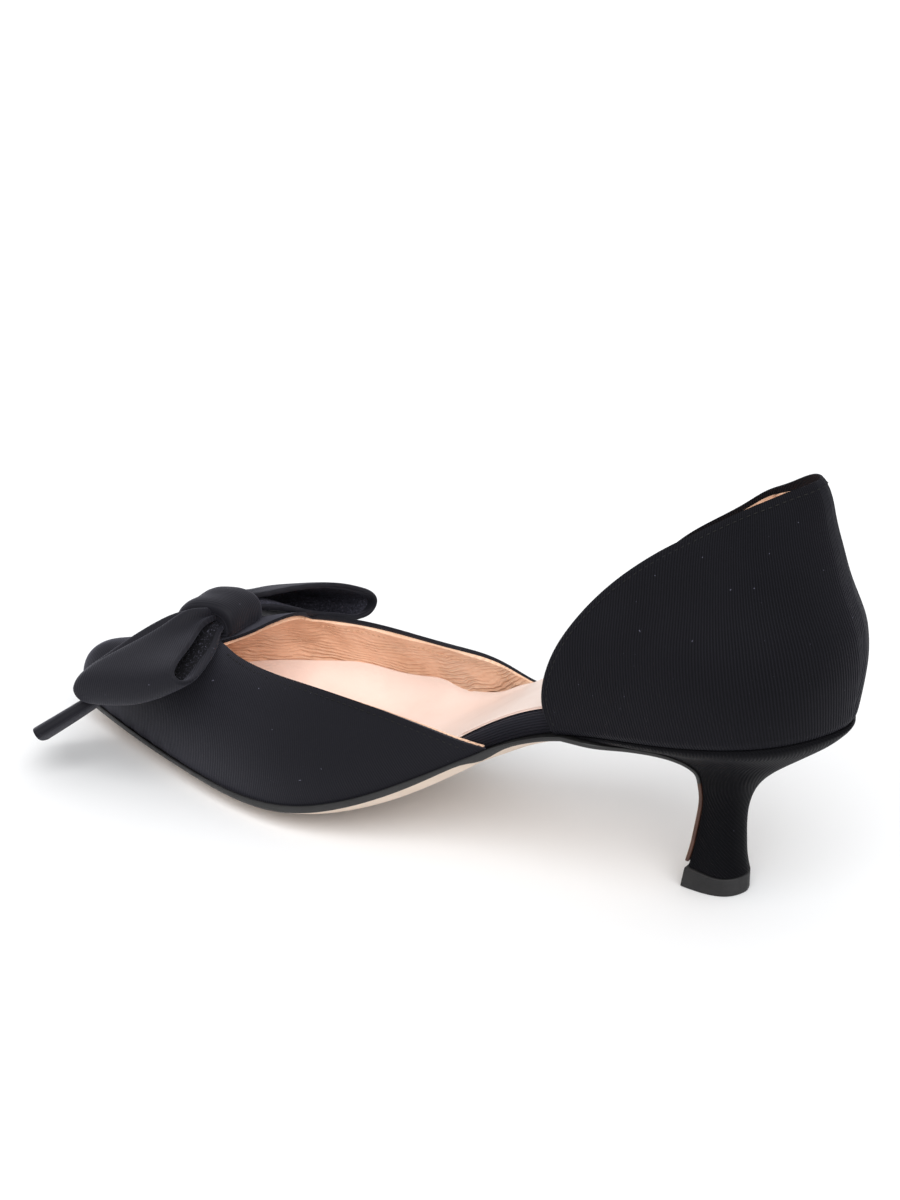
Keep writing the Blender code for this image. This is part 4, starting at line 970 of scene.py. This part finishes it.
def build_heel():
    sx, sy = heel_outline(120)
    front = np.linspace(sy[-1], sy[0], 30)[1:-1]
    sx, sy = np.append(sx, np.full(28, sx[0])), np.append(sy, front)
    qs = np.concatenate([np.linspace(0, 0.6, 70), np.linspace(0.6, 1.0, 70)[1:]])
    rows = np.array([heel_loop(q, sx, sy) for q in qs])
    centre = np.array([36.0, 0.5, 0.0])
    for k, q in enumerate(qs):
        shrink = 1 - 0.022 * float(smooth(q, 0.978, 1.0)) ** 2
        rows[k, :, :2] = centre[:2] + (rows[k, :, :2] - centre[:2]) * shrink
    rib = []
    for row in rows:
        s = np.concatenate([[0.0], np.cumsum(np.linalg.norm(np.diff(row[:, :2], axis=0), axis=1))])
        a = s[60] - s
        rib.append(-0.74 * a + 0.67 * row[:, 2])
    b = Build()
    ids = b.grid(rows, np.array(rib), wrap=True)
    b.fan(ids[0], flip=True)
    b.fan(ids[-1])
    # The heel cover takes the darkest faille copy: painted shade.
    b.piece("heel_cover", [FAILLE_HEEL_SHADED], ["heel"], bevel=0.25)

    f, k, w = HEEL[0][1] + 1.7, HEEL[0][2] - 0.2, HEEL[0][3] + 0.3
    rings = []
    for z, e in ((0.0, 0.9), (0.0, 0.35), (0.12, 0.12), (0.4, 0.0), (1.6, 0.0), (3.2, 0.0), (TOP_PIECE - 0.35, 0.0), (TOP_PIECE - 0.1, 0.06), (TOP_PIECE, 0.25), (TOP_PIECE, 0.9)):
        slant = 1.2 * (0.35 - z / TOP_PIECE)
        x = k + e + (f + slant - k - 2 * e) * sx
        rings.append(np.stack([x, (w - e) * sy, z + z / TOP_PIECE * FOOT_TILT * smooth(x, 33, 44)], -1))
    b = Build()
    ids = b.grid(np.array(rings), wrap=True)
    b.fan(ids[0], flip=True)
    b.fan(ids[-1])
    b.piece("top_piece", [RUBBER], ["heel_top_piece"])


def build_outsole():
    rim = Edge(SOLE_RIM)
    v_top = np.linspace(1, -1, 15)
    v_low = np.linspace(1, -1, 25)
    rows = []
    xs = [x for x in ends_fine(rim.hi - 0.05, 2 * SEAT_FRONT - rim.hi, 260) if x > SEAT_FRONT + 1.5]
    for x in xs:
        l, r = float(rim.left(x)), float(rim.right(x))
        mid, half = (l + r) / 2, (l - r) / 2
        base = float(feather(x)) - GAP
        c = float(crown(x))
        waist = 1 - float(smooth(x, 95, 150))
        edge = 0.36 * (SOLE_EDGE - 0.4 * waist)
        turn = math.exp(-((x - 99.0) / 5.0) ** 2)
        edge += 1.6 * turn
        drop = float(bevel_drop(x)) * (1 - 0.75 * turn)
        rim_z = base - edge
        thin = 0.55 * float(smooth(x, 236, 255))
        foot = max(min(base - c - SOLE_BODY * (1 - thin) + 2.2 * waist, rim_z - drop - 0.3 * (1 - thin)), 0.0)
        under = max(rim_z - drop, foot + 0.05)
        inset = min(1.4 + 0.9 * drop, 0.4 * half)
        e = min(0.8, 0.3 * half)
        lip = 0.30 + 1.0 * float(smooth(x, 100, 125)) * (1 - 0.75 * float(smooth(x, 160, 210)))
        top = [(x, mid + v * (half - e), base - c * (1 - v * v)) for v in v_top]
        side = [(half - 0.35 * e, base + lip), (half, base + lip - 0.45), (half + 0.05, base - 0.4 * edge), (half, rim_z), (half - 0.25, rim_z - 0.22)]
        belly = [(half - 0.25 - (inset - 0.25) * t, rim_z - 0.22 + (under - rim_z + 0.22) * (t ** 0.85)) for t in (0.35, 0.7)]
        low = [(x, mid + y, z) for y, z in side + belly]
        for v in v_low:
            rise = min(1.2 * max(abs(v) - 0.35, 0), 1.0) * (under - foot) if abs(v) < 0.999 else under - foot
            low.append((x, mid + v * (half - inset), foot + rise))
        low += [(x, mid - y, z) for y, z in (side + belly)[::-1]]
        rows.append(top + low[::-1])
    flat = len(rows)
    qs = np.concatenate([np.linspace(0.975, 0.72, 60), np.linspace(0.715, 0.033, 60)])
    for q in qs:
        x, w = float(heel_front(q)), float(heel_half(q))
        z = float(heel_z(x, q))
        x2, x1 = float(heel_front(q - 0.006)), float(heel_front(q + 0.006))
        d = np.array([x2 - x1, float(heel_z(x2, q - 0.006) - heel_z(x1, q + 0.006))])
        d /= np.linalg.norm(d)
        n = np.array([-d[1], d[0]])
        if n[0] - n[1] < 0:
            n = -n
        thick = 1.3 + 0.4 * float(smooth(q, 0.75, 0.97))
        half = w - 0.35 + (SOLE_RIM + 0.35) * float(smooth(q, 0.90, 0.97))
        inner = np.array([x, z]) + GAP * n
        e = 0.2
        row = [(inner[0], v * (half - e), inner[1]) for v in v_top]
        low = []
        for y, t in ((half - 0.05, 0.08), (half, 0.2), (half + 0.03, 0.4), (half, 0.62), (half - 0.15, 0.76), (half - 0.05 * half - 0.1, 0.88), (half - 0.09 * half - 0.1, 0.96)):
            low.append((inner[0] + t * thick * n[0], y, inner[1] + t * thick * n[1]))
        m = inner + thick * n
        mid_low = [(m[0], v * 0.88 * half, m[1]) for v in v_low]
        low = low + mid_low + [(p[0], -p[1], p[2]) for p in low[::-1]]
        rows.append(row + low[::-1])
    rows = np.array(rows)
    b = Build()
    nt, nl = len(v_top), len(v_low)
    count = rows.shape[1]
    ids = b.grid(rows, wrap=True)
    faces = b.f.pop()
    b.m.pop()
    j = np.tile(np.arange(count), rows.shape[0] - 1)
    i = np.repeat(np.arange(rows.shape[0] - 1), count)
    near, far = j - (nt - 1), count - 1 - j
    depth = np.minimum(np.where(near >= 0, near, 99), far)
    at = np.append(np.array(xs), np.zeros(rows.shape[0] - flat))[i]
    paint = 5 + (at > 234).astype(int) + (at > 241) + (at > 247)
    side_faces = (depth < paint) | (j < nt - 1)
    painted_side = np.where(side_faces, np.where(i < flat + 70, 1, 2), 0)
    b.quads(faces, painted_side)
    for k, flip in ((0, True), (-1, False)):
        b.fan(ids[k], mat=1 if k == 0 else 2, flip=flip)
    b.piece("outsole_leather", [SOLE, EDGE_PAINT, FLAP_EDGE], ["outsole"])


# ------------------------------------------------------------------ the bow
def build_knot():
    """Band over the middle of the bow with turned-in lips; the loops go in under them."""
    x0, x1 = KNOT_X
    a = np.pi * np.linspace(0, 1, 61)
    stations = [(0.86, 0.70), (0.95, 0.74), (1.00, 0.79), (1.02, 0.84), (1.0, 0.885), (0.95, 0.925), (0.87, 0.957), (0.74, 0.982), (0.56, 0.995), (0.36, 1.0), (0.18, 0.998)]
    prof = [(-y, k) for y, k in stations] + [(0.0, 0.995)] + stations[::-1]
    rows, ribs = [], []
    for s, k in prof:
        xm, hw = (x0 + x1) / 2, (x1 - x0) / 2 * k
        x = xm - hw * np.sign(np.cos(a)) * np.abs(np.cos(a)) ** 0.84
        y = s * KNOT_HALF + BOW_Y
        fold = 0.25 * np.sin(2.2 * a + 4.0 * s) * (1 - s * s)
        floor = vamp_top(x, np.full_like(x, y)) + 0.8
        top = KNOT_TOP - KNOT_SLOPE * (x - x0) - (1 - k) * 14 + fold
        z = floor + (top - floor) * np.sin(a) ** 0.62
        under = np.stack([x[::-1][1:-1], np.full(59, y), floor[::-1][1:-1]], -1)
        over = np.stack([x, np.full_like(x, y), z], -1)
        rows.append(np.vstack([over, under]))
        ribs.append(np.full(120, s * KNOT_HALF + 0.04 * k))
    b = Build()
    ids = b.grid(np.array(rows), np.array(ribs), wrap=True)
    b.fan(ids[0])
    b.fan(ids[-1], flip=True)
    b.piece("knot_band", [FAILLE_BOW], ["bow_knot"])


def surface(table, rows, cols):
    """Smooth surface through a table of points; returns points for shares along and across."""
    t = np.array(table, float)
    mid = t[:, 2]
    s = along(mid)
    s /= s[-1]
    w = np.mean([along(r) for r in t], 0)
    w /= w[-1]
    u, v = np.linspace(0, 1, rows), np.asarray(cols)
    first = spline(s, t.reshape(len(t), -1))(u).reshape(rows, t.shape[1], 3)
    return spline(w, first.transpose(1, 0, 2).reshape(t.shape[1], -1))(v).reshape(len(v), rows, 3).transpose(1, 0, 2)


def build_loop(name, table, node, sign):
    f = np.sin(0.5 * np.pi * np.linspace(-1, 1, 71))
    f = np.sign(f) * np.abs(f) ** 0.9
    mid = surface(table, 150, (f + 1) / 2)
    du, dv = np.gradient(mid, axis=0), np.gradient(mid, axis=1)
    n = unit(np.cross(du, dv)) * sign
    edge = np.sqrt(np.maximum(1 - np.abs(f) ** 14, 0))
    thick = RIBBON * (1 + 0.45 * np.exp(-((1 - np.abs(f)) / 0.05) ** 2)) * edge
    k = 0.5 * thick[None, :, None]
    rib = mid @ (np.array(LOOP_RIBS) * (1.0, -sign, 1.0)) * 0.80 / 0.63
    b = Build()
    o = b.grid(mid + k * n, rib, mat=0)
    hem = np.tile(np.where((f[:-1] + f[1:]) / 2 < -0.86, 0, 1), mid.shape[0] - 1)
    i = b.grid(mid - k * n, rib, mat=hem, flip=True)
    b.strip(o[:, 0], i[:, 0])
    b.strip(o[:, -1], i[:, -1], flip=True)
    b.strip(o[0], i[0], flip=True)
    b.strip(o[-1], i[-1])
    # The right loop's inside takes the lighter copy of the inner side: painted light.
    ob = b.piece(name, [FAILLE_BOW, INSIDE if sign < 0 else INSIDE_RIGHT_LIT], [node])
    return ob


def build_tail(name, middle, side, node):
    middle = np.array(middle, float)
    across = np.array(TAIL_ACROSS) * (1.0, side, 1.0)
    run = spline([0.0, 0.5, 1.0], middle)
    a = np.linspace(0, 2 * math.pi, 64, endpoint=False)
    c, s = np.cos(a), np.sin(a)
    cs, ss = np.sign(c) * np.abs(c) ** 0.7, np.sign(s) * np.abs(s) ** 0.7

    def ring(t, wall):
        mid = run(np.array(t))
        axis = unit(run(np.array(min(t + 0.02, 1))) - run(np.array(max(t - 0.02, 0))))
        wide = unit(across - axis * across.dot(axis))
        n = np.cross(wide, axis)
        half = TAIL_ROOT_HALF + (TAIL_TIP_HALF - TAIL_ROOT_HALF) * t - wall
        thick = TAIL_THICK * (0.7 + 0.3 * t) - 2 * wall
        wave = 0.5 * math.sin(5.0 * t + 0.6)
        return mid + wide * (half * cs)[:, None] + n * (0.5 * thick * ss + wave * 0.35 * c)[:, None]

    ts = np.linspace(0, 1, 70)
    rows = [ring(t, 0.0) for t in ts] + [ring(1.0, 0.35), ring(0.995, 0.75)] + [ring(t, 0.85) for t in np.linspace(0.97, 0.72, 14)]
    mats = np.repeat([0] * 70 + [1] * 15, 64)
    rib = np.repeat((cs * TAIL_TIP_HALF)[None, :], len(rows), 0)
    b = Build()
    ids = b.grid(np.array(rows), rib, wrap=True)
    b.m.pop()
    b.m.append(mats[:(len(rows) - 1) * 64])
    b.fan(ids[0], flip=True)
    b.fan(ids[-1], mat=1)
    ob = b.piece(name, [FAILLE_BOW, INSIDE], [node])
    return ob


build_vamp()
build_counter()
build_stitches()
build_insole()
build_heel()
build_outsole()
build_knot()
build_loop("loop_left", LOOP_LEFT, "bow_loop_left", -1)
build_loop("loop_right", LOOP_RIGHT, "bow_loop_right", 1)
build_tail("tail_left", TAIL_LEFT, 1, "bow_tail_left")
build_tail("tail_right", TAIL_RIGHT, -1, "bow_tail_right")

# ------------------------------------------------------- floor, light, camera
floor_mesh = bpy.data.meshes.new("studio_floor")
floor_mesh.from_pydata([(-6, -6, 0), (6, -6, 0), (6, 6, 0), (-6, 6, 0)], [], [(0, 1, 2, 3)])
floor = bpy.data.objects.new("studio_floor", floor_mesh)
bpy.context.scene.collection.objects.link(floor)
white = bpy.data.materials.new("studio_white")
white.use_nodes = True
white.node_tree.nodes["Principled BSDF"].inputs["Base Color"].default_value = (0.825, 0.83, 0.838, 1)
white.node_tree.nodes["Principled BSDF"].inputs["Roughness"].default_value = 0.9
white.node_tree.nodes["Principled BSDF"].inputs["Specular IOR Level"].default_value = 0.0
floor_mesh.materials.append(white)

scene = bpy.context.scene
world = bpy.data.worlds.new("studio")
scene.world = world
world.use_nodes = True
tree = world.node_tree
background = tree.nodes["Background"]
coord = tree.nodes.new("ShaderNodeTexCoord")
split = tree.nodes.new("ShaderNodeSeparateXYZ")
tree.links.new(coord.outputs["Generated"], split.inputs[0])
ramp = tree.nodes.new("ShaderNodeValToRGB")
ramp.color_ramp.elements[0].position, ramp.color_ramp.elements[0].color = 0.0, (0.35, 0.35, 0.36, 1)
ramp.color_ramp.elements[1].position, ramp.color_ramp.elements[1].color = 0.75, (1.0, 1.0, 1.0, 1)
tree.links.new(split.outputs["Z"], ramp.inputs["Fac"])
tree.links.new(ramp.outputs["Color"], background.inputs["Color"])
background.inputs["Strength"].default_value = 0.92

sun = bpy.data.lights.new("softbox_above", "SUN")
sun.energy, sun.angle = 2.5, math.radians(58)
sun_ob = bpy.data.objects.new("softbox_above", sun)
sun_ob.rotation_euler = Vector((0.42, -0.55, -0.72)).to_track_quat("-Z", "Y").to_euler()
scene.collection.objects.link(sun_ob)

ALPHA, ELEV = math.radians(31.378), math.radians(23.013)
SCALE, DISTANCE = 3.4697, 900.7612
TARGET = np.array([129.49474768, -6.12337556, 63.71471944])
right = np.array([-math.cos(ALPHA), -math.sin(ALPHA), 0.0])
look = np.array([math.sin(ALPHA) * math.cos(ELEV), -math.cos(ALPHA) * math.cos(ELEV), -math.sin(ELEV)])
up = np.cross(right, look)
eye = (TARGET - DISTANCE * look - SHIFT) * 0.001
cam_data = bpy.data.cameras.new("camera")
cam_data.sensor_width, cam_data.lens = 36.0, SCALE * DISTANCE / 1200 * 36.0
cam_data.clip_start, cam_data.clip_end = 0.01, 50.0
cam = bpy.data.objects.new("camera", cam_data)
cam.matrix_world = Matrix([[right[k], up[k], -look[k], eye[k]] for k in range(3)] + [[0, 0, 0, 1]])
scene.collection.objects.link(cam)
scene.camera = cam
scene.view_settings.view_transform = "Standard"
scene.view_settings.look = "None"
